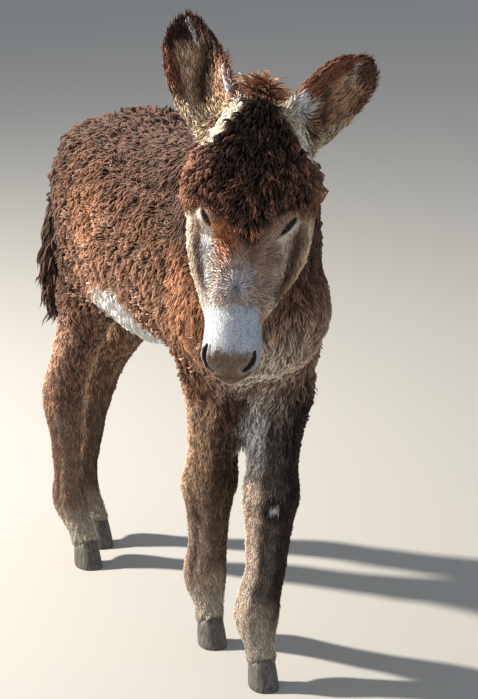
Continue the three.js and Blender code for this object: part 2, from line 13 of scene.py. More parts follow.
import bmesh
import bpy
import numpy as np
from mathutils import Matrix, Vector, bvhtree, kdtree, noise

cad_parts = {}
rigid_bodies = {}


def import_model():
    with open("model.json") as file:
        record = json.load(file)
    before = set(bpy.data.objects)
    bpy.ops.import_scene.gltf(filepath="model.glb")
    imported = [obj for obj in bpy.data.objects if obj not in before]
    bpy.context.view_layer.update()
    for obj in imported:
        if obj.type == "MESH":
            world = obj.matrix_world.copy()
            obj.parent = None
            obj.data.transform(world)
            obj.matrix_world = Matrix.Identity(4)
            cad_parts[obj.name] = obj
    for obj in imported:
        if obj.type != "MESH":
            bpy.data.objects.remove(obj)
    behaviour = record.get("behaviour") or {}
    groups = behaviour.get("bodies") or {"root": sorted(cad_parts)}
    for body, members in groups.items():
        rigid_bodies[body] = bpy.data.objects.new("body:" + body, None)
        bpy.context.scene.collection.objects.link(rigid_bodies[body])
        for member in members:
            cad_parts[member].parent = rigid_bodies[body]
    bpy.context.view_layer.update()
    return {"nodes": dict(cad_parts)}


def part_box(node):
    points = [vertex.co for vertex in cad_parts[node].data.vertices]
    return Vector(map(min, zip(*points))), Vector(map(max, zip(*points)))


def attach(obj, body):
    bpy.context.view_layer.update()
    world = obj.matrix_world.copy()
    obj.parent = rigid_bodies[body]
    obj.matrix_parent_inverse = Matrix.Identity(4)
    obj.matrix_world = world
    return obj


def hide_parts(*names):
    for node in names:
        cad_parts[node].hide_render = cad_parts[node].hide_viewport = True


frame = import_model()
print("the frame:", len(frame["nodes"]), "nodes")

# %% [markdown]
# ## The camera
#
# It looks down a little at the foal from in front of its right shoulder, as a standing person does.
# A long lens keeps the head from looking too large for the trunk.

# %% The camera
CAMERA_PLACE = Vector((-1.0659, -3.3245, 1.406))
CAMERA_TURN = (math.radians(75.3), 0.0, math.radians(-19.0))
LENS_MM = 112.6

camera_data = bpy.data.cameras.new("camera")
camera_data.lens = LENS_MM
camera_data.sensor_width = 36.0
camera = bpy.data.objects.new("camera", camera_data)
camera.location = CAMERA_PLACE
camera.rotation_euler = CAMERA_TURN
bpy.context.scene.collection.objects.link(camera)
bpy.context.scene.camera = camera

# %% [markdown]
# ## Meshes as arrays
#
# Blender can hand over all points of a mesh at once as a long list of numbers. NumPy then moves
# fifty thousand points in one line, where a Python loop would take seconds.

# %% Meshes as arrays
MM = 0.001


def numbers(rows, key, width, kind=np.float32):
    """One property of all rows of a mesh's list, read in one go."""
    found = np.empty(len(rows) * width, kind)
    rows.foreach_get(key, found)
    return found.reshape(-1, width)


def points_of(mesh):
    """The mesh's points as an array, one row for each."""
    return numbers(mesh.vertices, "co", 3).astype(float)


def normals_of(mesh):
    return numbers(mesh.vertex_normals, "vector", 3).astype(float)


def edges_of(mesh):
    return numbers(mesh.edges, "vertices", 2, np.int32)


def move_points(mesh, points):
    mesh.vertices.foreach_set("co", points.astype(np.float32).ravel())
    mesh.update()


def put(mesh, name, values, kind="FLOAT"):
    """Store one value for each point: FLOAT, FLOAT_VECTOR or FLOAT_COLOR."""
    layer = mesh.attributes.get(name) or mesh.attributes.new(name, kind, "POINT")
    key = {"FLOAT": "value", "FLOAT_VECTOR": "vector", "FLOAT_COLOR": "color"}[kind]
    if kind == "FLOAT_COLOR":
        values = np.column_stack([np.clip(values, 0, 1), np.ones(len(values))])
    layer.data.foreach_set(key, np.ascontiguousarray(values, np.float32).ravel())


def shade_smooth(mesh):
    mesh.polygons.foreach_set("use_smooth", np.ones(len(mesh.polygons), bool))


# %% Sums that work on all points at once
def unit(vectors):
    return vectors / np.maximum(np.linalg.norm(vectors, axis=1), 1e-9)[:, None]


def blend(values, share, target):
    """Each row moves towards the target, as far as its share says."""
    return values + share[:, None] * (np.asarray(target, float) - values)


def towards_neighbours(values, edges, share):
    """Each row moves this share of the way to the mean of the rows it has an edge to."""
    a, b = edges.T
    size = len(values)
    counts = np.bincount(a, minlength=size) + np.bincount(b, minlength=size)
    sums = np.stack(
        [np.bincount(a, col[b], size) + np.bincount(b, col[a], size) for col in values.T], axis=1
    )
    share = np.reshape(share, (-1, 1))
    return values + share * (sums / counts[:, None] - values)


def averaged(values, edges, rounds):
    """The values, evened out over the surface."""
    shaped = values.reshape(len(values), -1)
    for _ in range(rounds):
        shaped = towards_neighbours(shaped, edges, 0.5)
    return shaped.reshape(values.shape)


def even_normals(mesh, rounds):
    """The directions straight out of the surface, evened out over the neighbours."""
    return unit(averaged(normals_of(mesh), edges_of(mesh), rounds))


def fade(x, low, high):
    """0 below low, 1 above high, and a soft curve between; high may be the smaller one."""
    t = np.clip((x - low) / (high - low), 0.0, 1.0)
    return t * t * (3.0 - 2.0 * t)


def bell(x, width):
    """1 at zero, falling off on both sides within about this width."""
    return np.exp(-((x / width) ** 2))


def mesh_object(name, mesh):
    made = bpy.data.objects.new(name, mesh)
    bpy.context.scene.collection.objects.link(made)
    return made


def baked(made):
    """The object's mesh with its modifiers applied, and the modifiers gone."""
    graph = bpy.context.evaluated_depsgraph_get()
    mesh = bpy.data.meshes.new_from_object(made.evaluated_get(graph))
    made.modifiers.clear()
    made.data = mesh
    mesh.name = made.name
    return mesh


# %% [markdown]
# ## The face's own frame
#
# The head is turned, tilted and rolled, so every place on it is easier to say in a frame of its
# own, in millimetres: x to the foal's left, out of the forehead, and down the face to the lips.
# The two eyeballs are in the frame already, and fix where that frame sits.

# %% The face's own frame
HEAD_YAW = math.radians(20.0)
FACE_SLOPE = math.radians(21.0)
EYES_IN_FACE = {"left": (52.0, 8.0, 1.0), "right": (-53.0, 8.0, 1.0)}
EYE_RADIUS = 19.0


def middle_of(node):
    low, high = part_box(node)
    return (low + high) / 2


facing = Vector((-math.sin(HEAD_YAW), -math.cos(HEAD_YAW), 0.0))
face_left = (middle_of("eye_left") - middle_of("eye_right")).normalized()
face_down = Vector((0, 0, -math.cos(FACE_SLOPE))) + facing * math.sin(FACE_SLOPE)
face_down = (face_down - face_left * face_down.dot(face_left)).normalized()
face_out = face_down.cross(face_left)
FACE_AXES = np.array([face_left, face_out, face_down])
between_eyes = np.mean([EYES_IN_FACE["left"], EYES_IN_FACE["right"]], axis=0)
FACE_ORIGIN = np.array((middle_of("eye_left") + middle_of("eye_right")) / 2)
FACE_ORIGIN = FACE_ORIGIN - MM * between_eyes @ FACE_AXES


def in_face(points):
    """Places in the face's frame, in millimetres, as rows of (x, out, down)."""
    return (points - FACE_ORIGIN) @ FACE_AXES.T / MM


def from_face(places):
    return FACE_ORIGIN + MM * np.asarray(places, float) @ FACE_AXES


print("between the eyes:", np.round(FACE_ORIGIN, 3))

# %% [markdown]
# ## One skin
#
# The body comes as separate solids with hair-thin gaps. Each is fattened by about a millimetre so
# that they run into each other, and the Remesh modifier wraps them all in one closed mesh of even
# squares. The alternative, a boolean union, keeps the solids' long flat facets; a voxel remesh
# forgets them, and that is what a smooth skin needs.

# %% One skin from all the flesh
FLESH = ["trunk", "neck", "head", "ear_left", "ear_right", "tail"]
FLESH += [n for n in frame["nodes"] if n.startswith("leg_")]
FATTEN = 1.2 * MM
VOXEL = 6.4 * MM


def fattened(nodes, by):
    """One mesh of copies of the nodes, their loose triangles merged and every point pushed out."""
    joined = bmesh.new()
    for node in nodes:
        joined.from_mesh(frame["nodes"][node].data)
    bmesh.ops.remove_doubles(joined, verts=joined.verts, dist=0.01 * MM)
    joined.normal_update()
    for vertex in joined.verts:
        vertex.co += vertex.normal * by
    mesh = bpy.data.meshes.new("flesh")
    joined.to_mesh(mesh)
    joined.free()
    return mesh


skin = mesh_object("skin", fattened(FLESH, FATTEN))
wrap = skin.modifiers.new("wrap", "REMESH")
wrap.mode = "VOXEL"
wrap.voxel_size = VOXEL
baked(skin)
print("the skin has", len(skin.data.polygons), "squares")

# %% [markdown]
# Smoothing a closed mesh by averaging makes it thinner each time. Taubin's trick is a second step
# that goes a little further back out than the first went in: bumps vanish, thickness stays. The
# ears are thin, so they are smoothed less.

# %% Which part of the body each point belongs to
def nearest_nodes(points, nodes):
    """For each point, the index of the node whose faces lie nearest."""
    centres = []
    owners = []
    for index, node in enumerate(nodes):
        for face in frame["nodes"][node].data.polygons:
            centres.append(face.center)
            owners.append(index)
    tree = kdtree.KDTree(len(centres))
    for index, centre in enumerate(centres):
        tree.insert(centre, index)
    tree.balance()
    return np.array([owners[tree.find(p)[1]] for p in points])


def part_shares(mesh, rounds):
    """A soft 0 to 1 share in each part of the flesh, for every point of the mesh."""
    owners = nearest_nodes(points_of(mesh), FLESH)
    whole = np.eye(len(FLESH))[owners]
    soft = averaged(whole, edges_of(mesh), rounds)
    return dict(zip(FLESH, soft.T))


# %% Smoothing without shrinking
def taubin(mesh, rounds, strength):
    points, edges = points_of(mesh), edges_of(mesh)
    for _ in range(rounds):
        points = towards_neighbours(points, edges, 0.6 * strength)
        points = towards_neighbours(points, edges, -0.63 * strength)
    move_points(mesh, points)


parts = part_shares(skin.data, 3)
in_ears = np.maximum(parts["ear_left"], parts["ear_right"])
taubin(skin.data, 26, 1.0 - 0.55 * in_ears)

# %% [markdown]
# ## Under the coat
#
# The solids reach out to the tips of the hair, so the skin has to lie deeper: 13 mm under the wool
# of the trunk, a few millimetres under the short hair of the face and legs, and almost nothing at
# the lips. Each point is pushed in along its normal, evened out over its neighbours so that the
# push doesn't fold the surface in the creases.

# %% Under the coat
WOOL_DEPTH = 13.0
LIP_DEPTH = 1.2
LEG_DEPTHS = ((0.05, 0.06, 0.12, 0.33, 0.46, 0.56), (1.2, 3, 4.5, 6, 10, 13))  # by height
INTO_HOOF = 0.009
BREAST_EDGE = 0.535  # the height at which the breast meets the forelegs, in metres


def coat_depth(points, parts):
    """How deep the skin lies under the tips of the hair, in millimetres."""
    x, out, down = in_face(points).T
    face = 3 + 4 * fade(np.abs(x), 45, 88) + 5 * fade(out, -45, -95)
    face += (WOOL_DEPTH - face) * fade(down, 12, -42)
    face += (LIP_DEPTH - face) * fade(down, 100, 150)
    leg = np.interp(points[:, 2], *LEG_DEPTHS)
    depths = {"trunk": WOOL_DEPTH, "neck": WOOL_DEPTH, "head": face, "tail": 10.0}
    depths |= {"ear_left": 2.2, "ear_right": 2.2}
    return sum(share * depths.get(name, leg) for name, share in parts.items())


def push_in(mesh, parts):
    depth = averaged(coat_depth(points_of(mesh), parts) * MM + FATTEN, edges_of(mesh), 8)
    points = points_of(mesh) - even_normals(mesh, 5) * depth[:, None]
    points[:, 2] -= INTO_HOOF * fade(points[:, 2], 0.056, 0.044)
    move_points(mesh, points)


def soften_breast(mesh):
    """The breast runs down into the forelegs without a ledge."""
    points, edges = points_of(mesh), edges_of(mesh)
    ledge = bell(points[:, 2] - BREAST_EDGE, 0.06) * fade(points[:, 1], -0.12, -0.19)
    for _ in range(45):
        points = towards_neighbours(points, edges, 0.6 * ledge)
    move_points(mesh, points)


parts = part_shares(skin.data, 3)
push_in(skin.data, parts)
taubin(skin.data, 6, 0.9 - 0.7 * np.maximum(parts["ear_left"], parts["ear_right"]))
soften_breast(skin.data)
print("the skin lies under the coat:", [round(v, 3) for v in skin.dimensions])

# %% [markdown]
# ## Finer squares where the eye looks
#
# Six millimetres is enough for a flank, but not for a nostril. The squares of the face and ears
# are cut in four, and those round the eyes and lips once more, each time with a little smoothing,
# because cutting alone leaves the old flat squares.

# %% Finer squares on the face and ears
EYE_MIDDLES = {side: from_face(EYES_IN_FACE[side]) for side in ("left", "right")}


def keep_shares(mesh, parts):
    """The shares stored on the mesh, so that new points get theirs by themselves."""
    for name, share in parts.items():
        put(mesh, "in_" + name, share)


def kept_shares(mesh):
    layers = {name: mesh.attributes["in_" + name].data for name in FLESH}
    return {name: numbers(data, "value", 1)[:, 0].astype(float) for name, data in layers.items()}


def refine(mesh, chosen):
    """Every square with four chosen corners is cut in four."""
    work = bmesh.new()
    work.from_mesh(mesh)
    work.verts.ensure_lookup_table()
    inside = [e for e in work.edges if chosen[e.verts[0].index] and chosen[e.verts[1].index]]
    bmesh.ops.subdivide_edges(work, edges=inside, cuts=1, use_grid_fill=True)
    work.to_mesh(mesh)
    work.free()


def eye_reach(points):
    """The distance to the middle of the nearer eye, in metres."""
    return np.min([np.linalg.norm(points - m, axis=1) for m in EYE_MIDDLES.values()], axis=0)


def face_and_ears(points, parts):
    x, out, down = in_face(points).T
    face = (parts["head"] > 0.5) & (down > -40) & (out > -90)
    return face | (parts["ear_left"] + parts["ear_right"] > 0.4)


def lids_and_lips(points, parts):
    x, out, down = in_face(points).T
    lips = (down > 160) & (down < 245) & (out > -75) & (np.abs(x) < 60)
    return (eye_reach(points) < 0.036) | lips


keep_shares(skin.data, parts)
for where in (face_and_ears, lids_and_lips):
    refine(skin.data, where(points_of(skin.data), kept_shares(skin.data)))
    parts = kept_shares(skin.data)
    face = parts["head"] * fade(in_face(points_of(skin.data))[:, 2], -50, -35)
    taubin(skin.data, 5, 0.9 * np.maximum(face, 0.45 * (parts["ear_left"] + parts["ear_right"])))
print("the finer skin has", len(skin.data.polygons), "faces")

# %% [markdown]
# ## Lines on the skin
#
# Nostrils, lips, the bones of the face and the stripes on it all follow short curved lines. One
# function serves them all: for each point of the skin it finds the distance to the line, and a
# bell curve of that distance says how far the point moves, or how much colour it takes.

# %% Lines, and the ears' own directions
def reach_of(places, path):
    """The distance from each place to a line of points, and how far along it (0 to 1) that is."""
    path = np.asarray(path, float)
    steps = np.linalg.norm(np.diff(path, axis=0), axis=1)
    starts = np.concatenate([[0], np.cumsum(steps)])
    nearest = np.full(len(places), 1e9)
    along = np.zeros(len(places))
    for a, b, length, start in zip(path, path[1:], steps, starts):
        t = np.clip((places - a) @ (b - a) / length**2, 0, 1)
        away = np.linalg.norm(places - a - t[:, None] * (b - a), axis=1)
        closer = away < nearest
        nearest[closer] = away[closer]
        along[closer] = (start + t[closer] * length) / starts[-1]
    return nearest, along


EARS = {  # base, tip and the way the cup opens, in metres
    "ear_right": ((-0.074, -0.362, 0.905), (-0.094, -0.296, 1.079), (-0.15, -1.0, 0.30)),
    "ear_left": ((0.020, -0.438, 0.905), (0.120, -0.452, 1.022), (-0.1, -1.0, -0.25)),
}
EAR_HALF_WIDTH = 0.036


def in_ear(points, ear):
    """Along the ear (0 to 1), across it towards the head (-1 to 1), and the way its cup opens."""
    base, tip, opening = (np.array(v) for v in EARS[ear])
    axis = tip - base
    length = np.linalg.norm(axis)
    axis /= length
    across = np.cross(opening, axis)
    across /= np.linalg.norm(across)
    if ear == "ear_left":
        across = -across
    square = np.cross(axis, across)
    away = points - base
    return away @ axis / length, away @ across / EAR_HALF_WIDTH, square * np.sign(square @ opening)


# %% [markdown]
# ## The muzzle and the ears
#
# Some forms are easier to correct on the skin than in the solids. The muzzle is made slimmer by
# moving its points sideways, each by a share that changes down the face, and the cups of the ears
# get their lean and their wide base in the same way.

# %% The muzzle and the ears
SLIM_LEFT = (  # how far down the face, and the share of the width that stays on its left
    (40, 60, 78, 104, 121, 140, 152, 167, 185, 203, 230),
    (1, 0.97, 0.92, 0.82, 0.76, 0.75, 0.79, 0.85, 0.83, 0.81, 0.81),
)
SLIM_CHIN = ((190, 203, 212, 222, 234), (1.0, 0.95, 0.84, 0.71, 0.58))
MUZZLE_MIDDLE = -6
CHIN_START, CHIN_SHORTER = 216, 0.22


def slim_muzzle(mesh):
    """The muzzle is slim on its left, and the lips are narrower than the nose above them."""
    places = in_face(points_of(mesh))
    head = kept_shares(mesh)["head"]
    slim = np.interp(places[:, 2], *SLIM_LEFT)
    width = np.interp(places[:, 2], *SLIM_CHIN) * (1 - fade(places[:, 0], -10, 6) * (1 - slim))
    places[:, 0] = MUZZLE_MIDDLE + (places[:, 0] - MUZZLE_MIDDLE) * (1 - head + head * width)
    places[:, 2] -= head * CHIN_SHORTER * np.maximum(places[:, 2] - CHIN_START, 0)
    move_points(mesh, from_face(places))


def shape_ears(mesh):
    """The cups lean a little outwards and are wide at the base."""
    points = points_of(mesh)
    parts = kept_shares(mesh)
    for ear, (base, tip, _) in EARS.items():
        along, across, opening = in_ear(points, ear)
        side = np.cross(opening, np.array(tip) - np.array(base))
        side = side / np.linalg.norm(side)
        side = side * np.sign(np.polyfit(points @ side, across, 1)[0])
        window = fade(along, 0.05, 0.3) * fade(along, 1.05, 0.8)
        if ear == "ear_right":
            shift = 6.5 * window + 3.0 * window * fade(across, 0.3, 1.0)
            inner = fade(across, 0.1, -0.7)
            shift += inner * (5.0 * fade(along, 0.5, 0.75) - 14.0 * bell(along - 0.2, 0.16))
        else:
            shift = -9.0 * fade(along, 0.5, 0.15) * fade(across, -0.1, -0.8)
            shift -= 3.0 * window * fade(across, 0.0, -0.8)
            shift += 3.5 * window * fade(across, 0.2, 0.9)
        points = points + side * (shift * MM * fade(parts[ear], 0.1, 0.6))[:, None]
    move_points(mesh, points)


slim_muzzle(skin.data)
shape_ears(skin.data)
print("the skin from ear to ear:", round(skin.dimensions.x, 3))

# %% [markdown]
# ## Nostrils, lips and the bones of the face
#
# A foal's nostril is a comma that opens outwards, with a raised rim, and its closed mouth is a
# shallow groove. The bones are low ridges: the brow over the eye and the crest along the cheek,
# with a hollow behind the muzzle.

# %% Nostrils, lips and the bones of the face
def snapped(path, surface):
    """The path's points moved onto the skin."""
    return in_face(np.array([surface.find_nearest(Vector(p))[0] for p in from_face(path)]))


def surface_of(mesh):
    squares = [tuple(p.vertices) for p in mesh.polygons]
    return bvhtree.BVHTree.FromPolygons([tuple(p) for p in points_of(mesh)], squares)


surface = surface_of(skin.data)
NOSTRILS = {
    "right": [(-41, -6, 179), (-44, -12, 189), (-43, -20, 199), (-38, -23, 207), (-28, -18, 214)],
    "left": [(30, -4, 181), (31, -6, 189), (29, -8, 197), (25, -9, 204), (19, -9, 210)],
}
NOSTRILS = {side: snapped(path, surface) for side, path in NOSTRILS.items()}
MOUTH = [(-44, -62, 166), (-42, -52, 188), (-35, -36, 208), (-24, -25, 219), (-4, -21, 223)]
MOUTH = snapped(MOUTH + [(-x - 4, out, down) for x, out, down in MOUTH[-2::-1]], surface)
BONES = (  # the line on the left side of the face, the height of the ridge and its width
    ([(70, -6, 26), (62, -4, 60), (50, -8, 98)], 3.0, 8),
    ([(44, 26, -8), (58, 24, -20), (70, 10, -24)], 4.0, 9),
    ([(44, 12, 120), (47, -4, 160)], -1.6, 10),
)


def shape_face(mesh):
    points = points_of(mesh)
    places = in_face(points)
    rise = np.zeros(len(points))
    for path in NOSTRILS.values():
        away, along = reach_of(places, path)
        width = 2.2 + 2.2 * np.sin(np.pi * along) ** 0.8
        rise -= 8.0 * np.sin(np.pi * np.clip(along, 0.08, 0.92)) ** 0.6 * bell(away, width)
        rise += 2.0 * bell(away - 2.1 * width, 0.8 * width)
    away, along = reach_of(places, MOUTH)
    rise += -4.0 * bell(away, 2.4) + 1.2 * bell(away - 6, 3.5)
    for side in (-1, 1):
        for path, height, width in BONES:
            path = [(side * x, out, down) for x, out, down in path]
            rise += height * bell(reach_of(places, path)[0], width)
    head = kept_shares(mesh)["head"]
    move_points(mesh, points + even_normals(mesh, 3) * (rise * head * MM)[:, None])


shape_face(skin.data)
print("the mouth and two nostrils lie on the skin, with", 2 * len(BONES), "ridges and hollows")

# %% [markdown]
# ## Knees, tendons and fetlocks
#
# Below the knee a leg is bone in front and tendon behind, with a groove between them on each
# side, and the fetlock is a ball above the hoof. These forms need to know where on the round of
# the leg a point is. So the middle of each leg is measured at many heights, and every point gets
# its angle round that middle: 0 at the front of the leg and 90 at its outer side.

# %% Knees, tendons and fetlocks
LEGS = [name for name in FLESH if name.startswith("leg_")]
LEG_TURN = dict.fromkeys(LEGS, 0.0) | {"leg_front_left": 12.0}
SLICE = 0.012


def leg_middles(points, share):
    """The middle of a leg at each height: a table of heights, x and y."""
    rows = []
    for low in np.arange(0.03, 0.50, SLICE):
        here = points[(share > 0.5) & (points[:, 2] > low) & (points[:, 2] < low + SLICE)]
        if len(here) > 6:
            middle = (here.min(0) + here.max(0)) / 2
            rows.append((low + SLICE / 2, middle[0], middle[1]))
    return np.array(rows).T


def round_leg(points, name):
    """The angle of each point round the leg, in degrees."""
    heights, xs, ys = LEG_MIDDLES[name]
    side = 1 if name.endswith("left") else -1
    outward = side * (points[:, 0] - np.interp(points[:, 2], heights, xs))
    forward = np.interp(points[:, 2], heights, ys) - points[:, 1]
    angle = np.degrees(np.arctan2(outward, forward)) + LEG_TURN[name] * side
    return (angle + 180) % 360 - 180


def shape_legs(mesh):
    points = points_of(mesh)
    z = points[:, 2]
    rise = np.zeros(len(points))
    for name in LEGS:
        angle = round_leg(points, name)
        knee = 0.27 if "front" in name else 0.33
        shin = fade(z, 0.075, 0.10) * fade(z, knee + 0.03, knee - 0.02)
        groove = -3.6 * bell(np.abs(angle) - 62, 17) * shin
        front = bell(angle, 42)
        back = bell(180 - np.abs(angle), 40)
        ball = 2.2 * front * bell(z - 0.112, 0.018) - 1.2 * front * bell(z - 0.165, 0.03)
        heel = 2.5 * back * bell(z - 0.098, 0.016) - 2.0 * back * bell(z - 0.066, 0.012)
        rise += parts[name] * (groove + ball + heel)
    move_points(mesh, points + even_normals(mesh, 3) * (rise * MM)[:, None])


parts = kept_shares(skin.data)
LEG_MIDDLES = {name: leg_middles(points_of(skin.data), parts[name]) for name in LEGS}
shape_legs(skin.data)
print("the legs have", {n: v.shape[1] for n, v in LEG_MIDDLES.items()}, "heights")

# %% [markdown]
# ## Eyes and lids
#
# A sleepy foal shows only a dark slit. The eye is still a whole ball, deep in the head, and the
# lids are drawn over it: rings of points run from the edge of the slit, just outside the ball, to a
# circle on the skin round it. Built as rings, the lids keep a clean, even edge, which carving the
# skin itself couldn't give.

# %% The lids, drawn over the balls
SLITS = {  # outer corner, middle, inner corner, in the face's frame
    "right": [(-67, 22, -8), (-60, 26, 4), (-51, 23, 15)],
    "left": [(65, 22, -10), (57, 26, 3), (47, 23, 16)],
}
SLIT_OPEN = 3.3
LID_CLEAR = 1.2  # between the ball and the edge of a lid
LID_RING = 29.0
LID_TURNS = 56
LID_STEPS = (-0.12, 0.0, 0.06, 0.18, 0.34, 0.52, 0.72, 0.88, 1.0)  # the first is inside the lid


def eye_frame(side):
    """The eye's middle, its axis, and the directions along and across its slit, in the face."""
    middle = np.array(EYES_IN_FACE[side])
    outer, centre, inner = np.array(SLITS[side], float)
    axis = centre - middle
    axis /= np.linalg.norm(axis)
    along = inner - outer
    half = np.linalg.norm(along) / 2
    along -= axis * (along @ axis)
    along /= np.linalg.norm(along)
    across = np.cross(axis, along)
    across *= -np.sign(across[2])  # towards the brow
    return middle, axis, along, across, half


def lid_ends(side, surface, angle):
    """One line of the lid: from the edge of the slit to the skin round the eye."""
    middle, axis, along, across, half = eye_frame(side)
    c, s = math.cos(angle), math.sin(angle)
    bow = (1 - c * c) ** 0.9 * math.copysign(1, s)
    lower = 1.4 if s < 0 else -0.6
    slit = along * c * half + across * (bow * SLIT_OPEN + lower * (1 - c * c))
    slit = middle + axis * (EYE_RADIUS - 2.0) + slit
    edge = slit - middle
    edge *= (EYE_RADIUS + LID_CLEAR + 2.4 * c**4) / np.linalg.norm(edge)
    rim = middle + axis * 12 + (along * c * 1.12 + across * s) * LID_RING
    place, normal = surface.find_nearest(Vector(from_face(rim)))[:2]
    return edge, in_face(np.array([np.array(place) - 0.0022 * np.array(normal)]))[0]


def lid_point(side, share, edge, ground, swell):
    """A point that share of the way from the edge to the skin, bulging out and clear of the ball."""
    middle, axis = eye_frame(side)[:2]
    if share < 0:
        return middle + edge * 0.93
    place = middle + edge + (ground - middle - edge) * share**1.15
    place = place + axis * (4 * share * (1 - share)) * swell
    away = place - middle
    reach = np.linalg.norm(away)
    least = EYE_RADIUS + LID_CLEAR + 2.2 * min(share * 6, 1)
    return middle + away * least / reach if reach < least else place


def lid_mesh(side, surface):
    angles = [2 * math.pi * turn / LID_TURNS for turn in range(LID_TURNS)]
    ends = [(*lid_ends(side, surface, a), 3.2 if math.sin(a) > 0 else 1.6) for a in angles]
    rings = [[lid_point(side, share, *end) for end in ends] for share in LID_STEPS]
    points = from_face(np.array(rings).reshape(-1, 3))
    faces = []
    for row in range(len(rings) - 1):
        for turn in range(LID_TURNS):
            a = row * LID_TURNS + turn
            b = row * LID_TURNS + (turn + 1) % LID_TURNS
            faces.append((a, b, b + LID_TURNS, a + LID_TURNS))
    mesh = bpy.data.meshes.new("lids")
    mesh.from_pydata([tuple(p) for p in points], [], faces)
    square = mesh.polygons[LID_TURNS * 3]
    if square.normal.dot(square.center - Vector(EYE_MIDDLES[side])) < 0:
        mesh.flip_normals()
    return mesh


# %% [markdown]
# The skin under each lid has to go, or it would cut through the ball. Its points are drawn in
# towards the middle of the ball, out of sight. The lids are then joined to the skin in one mesh,
# and the edge of each upper lid is remembered, because the lashes grow there.

# %% Sockets, and the lids joined to the skin
def sink_sockets(mesh):
    """The skin under each lid goes down out of the ball's way."""
    points = points_of(mesh)
    for side in ("right", "left"):
        middle, axis = eye_frame(side)[:2]
        away = in_face(points) - middle
        reach = np.linalg.norm(away, axis=1)
        facing_out = away @ axis / np.maximum(reach, 1e-6)
        hidden = (reach < EYE_RADIUS + 12) & (facing_out > 0.1)
        deep = fade(facing_out, 0.52, 0.74) * hidden
        target = np.minimum(reach, EYE_RADIUS - 3)
        scale = 1 + deep * (target / np.maximum(reach, 1e-6) - 1)
        points = from_face(middle + away * scale[:, None])
    move_points(mesh, points)


def joined(mesh, others):
    work = bmesh.new()
    for part in (mesh, *others):
        work.from_mesh(part)
    work.to_mesh(mesh)
    work.free()
    shade_smooth(mesh)


surface = surface_of(skin.data)
lid_meshes = {side: lid_mesh(side, surface) for side in ("right", "left")}
sink_sockets(skin.data)
parts = kept_shares(skin.data)
start = len(skin.data.vertices)
joined(skin.data, lid_meshes.values())
count = len(skin.data.vertices)
parts = {n: np.append(v, np.full(count - start, float(n == "head"))) for n, v in parts.items()}
lash_rows = np.zeros((len(LID_STEPS), LID_TURNS))
upper = np.sin(2 * np.pi * np.arange(LID_TURNS) / LID_TURNS) > 0.3
lash_rows[1, upper] = 1.0
lash_rows[2, upper] = 0.5
lash = {}
for side in lid_meshes:
    lash[side] = np.zeros(count)
    lash[side][start : start + lash_rows.size] = lash_rows.ravel()
    start += lash_rows.size
lashes = lash["right"] + lash["left"]
print("skin and lids:", count, "points")

# %% [markdown]
# ## Markings
#
# A donkey's colours follow its anatomy: a pale muzzle, pale rings and stripes on the face, a cream
# belly, dark points. Each is a soft-edged region laid over the brown, in the order a painter would
# work. The result is stored as one colour on each point of the skin, and every lock of hair later
# takes the colour of the place where it grows, so skin and coat can't disagree.

# %% Colours and soft regions
def tone(colour):
    """An everyday 0 to 255 colour as the linear light that shaders work in."""
    part = np.array(colour) / 255
    return np.where(part <= 0.04045, part / 12.92, ((part + 0.055) / 1.055) ** 2.4)


def all_over(points, colour):
    return np.tile(tone(colour), (len(points), 1))


def laid(colours, *layers):
    """Layers of colour over the others, each as thick as its mask says, from 0 to 1."""
    for mask, colour in layers:
        colour = colour if isinstance(colour, np.ndarray) else tone(colour)
        colours = blend(colours, np.clip(mask, 0, 1), colour)
    return colours


def grain(points, size, seed):
    """Smooth noise from -1 to 1 whose bumps are about this size, in metres."""
    shift = Vector((seed * 7.3, seed * 3.1, seed * 5.7))
    return np.array([noise.noise(Vector(p) / size + shift) for p in points])


BROWN = (132, 97, 75)
DEEP = (74, 54, 44)
RUST = (184, 132, 101)
CREAM = (253, 244, 230)
GREY_BEIGE = (224, 208, 192)
TAIL_BROWN = (58, 42, 35)
MUZZLE = (226, 227, 228)
NOSE = (106, 84, 66)

# %% [markdown]
# ## The trunk and the neck
#
# The back is the darkest brown, deepened along its top with painted shade, and the flank a warmer
# one, lighter in its middle and in the hollow on the right with painted light. The cream of the belly
# climbs behind the elbow, and its edge is given as a line of heights along the trunk, roughened by
# noise so that it doesn't look ruled. The right shoulder is rust and the breast grey-beige. The left
# side of trunk and neck is darker with painted shade, and the upper right of the neck holds the
# painted shadow of the head.

# %% The trunk and the neck
BELLY_EDGE = (  # along the trunk, and the height of the edge there, in metres
    (-0.22, -0.12, -0.055, -0.03, -0.005, 0.03, 0.10, 0.17, 0.24),
    (0.49, 0.505, 0.523, 0.552, 0.578, 0.597, 0.590, 0.57, 0.55),
)


def belly_edge(points):
    return np.interp(points[:, 1], *BELLY_EDGE) + 0.006 * grain(points, 0.018, 2)


def belly_of(points):
    """1 on the cream belly."""
    x, y, z = points.T
    edge = belly_edge(points)
    return fade(z, edge + 0.012, edge - 0.012) * fade(y, -0.19, -0.13) * fade(y, 0.21, 0.14)


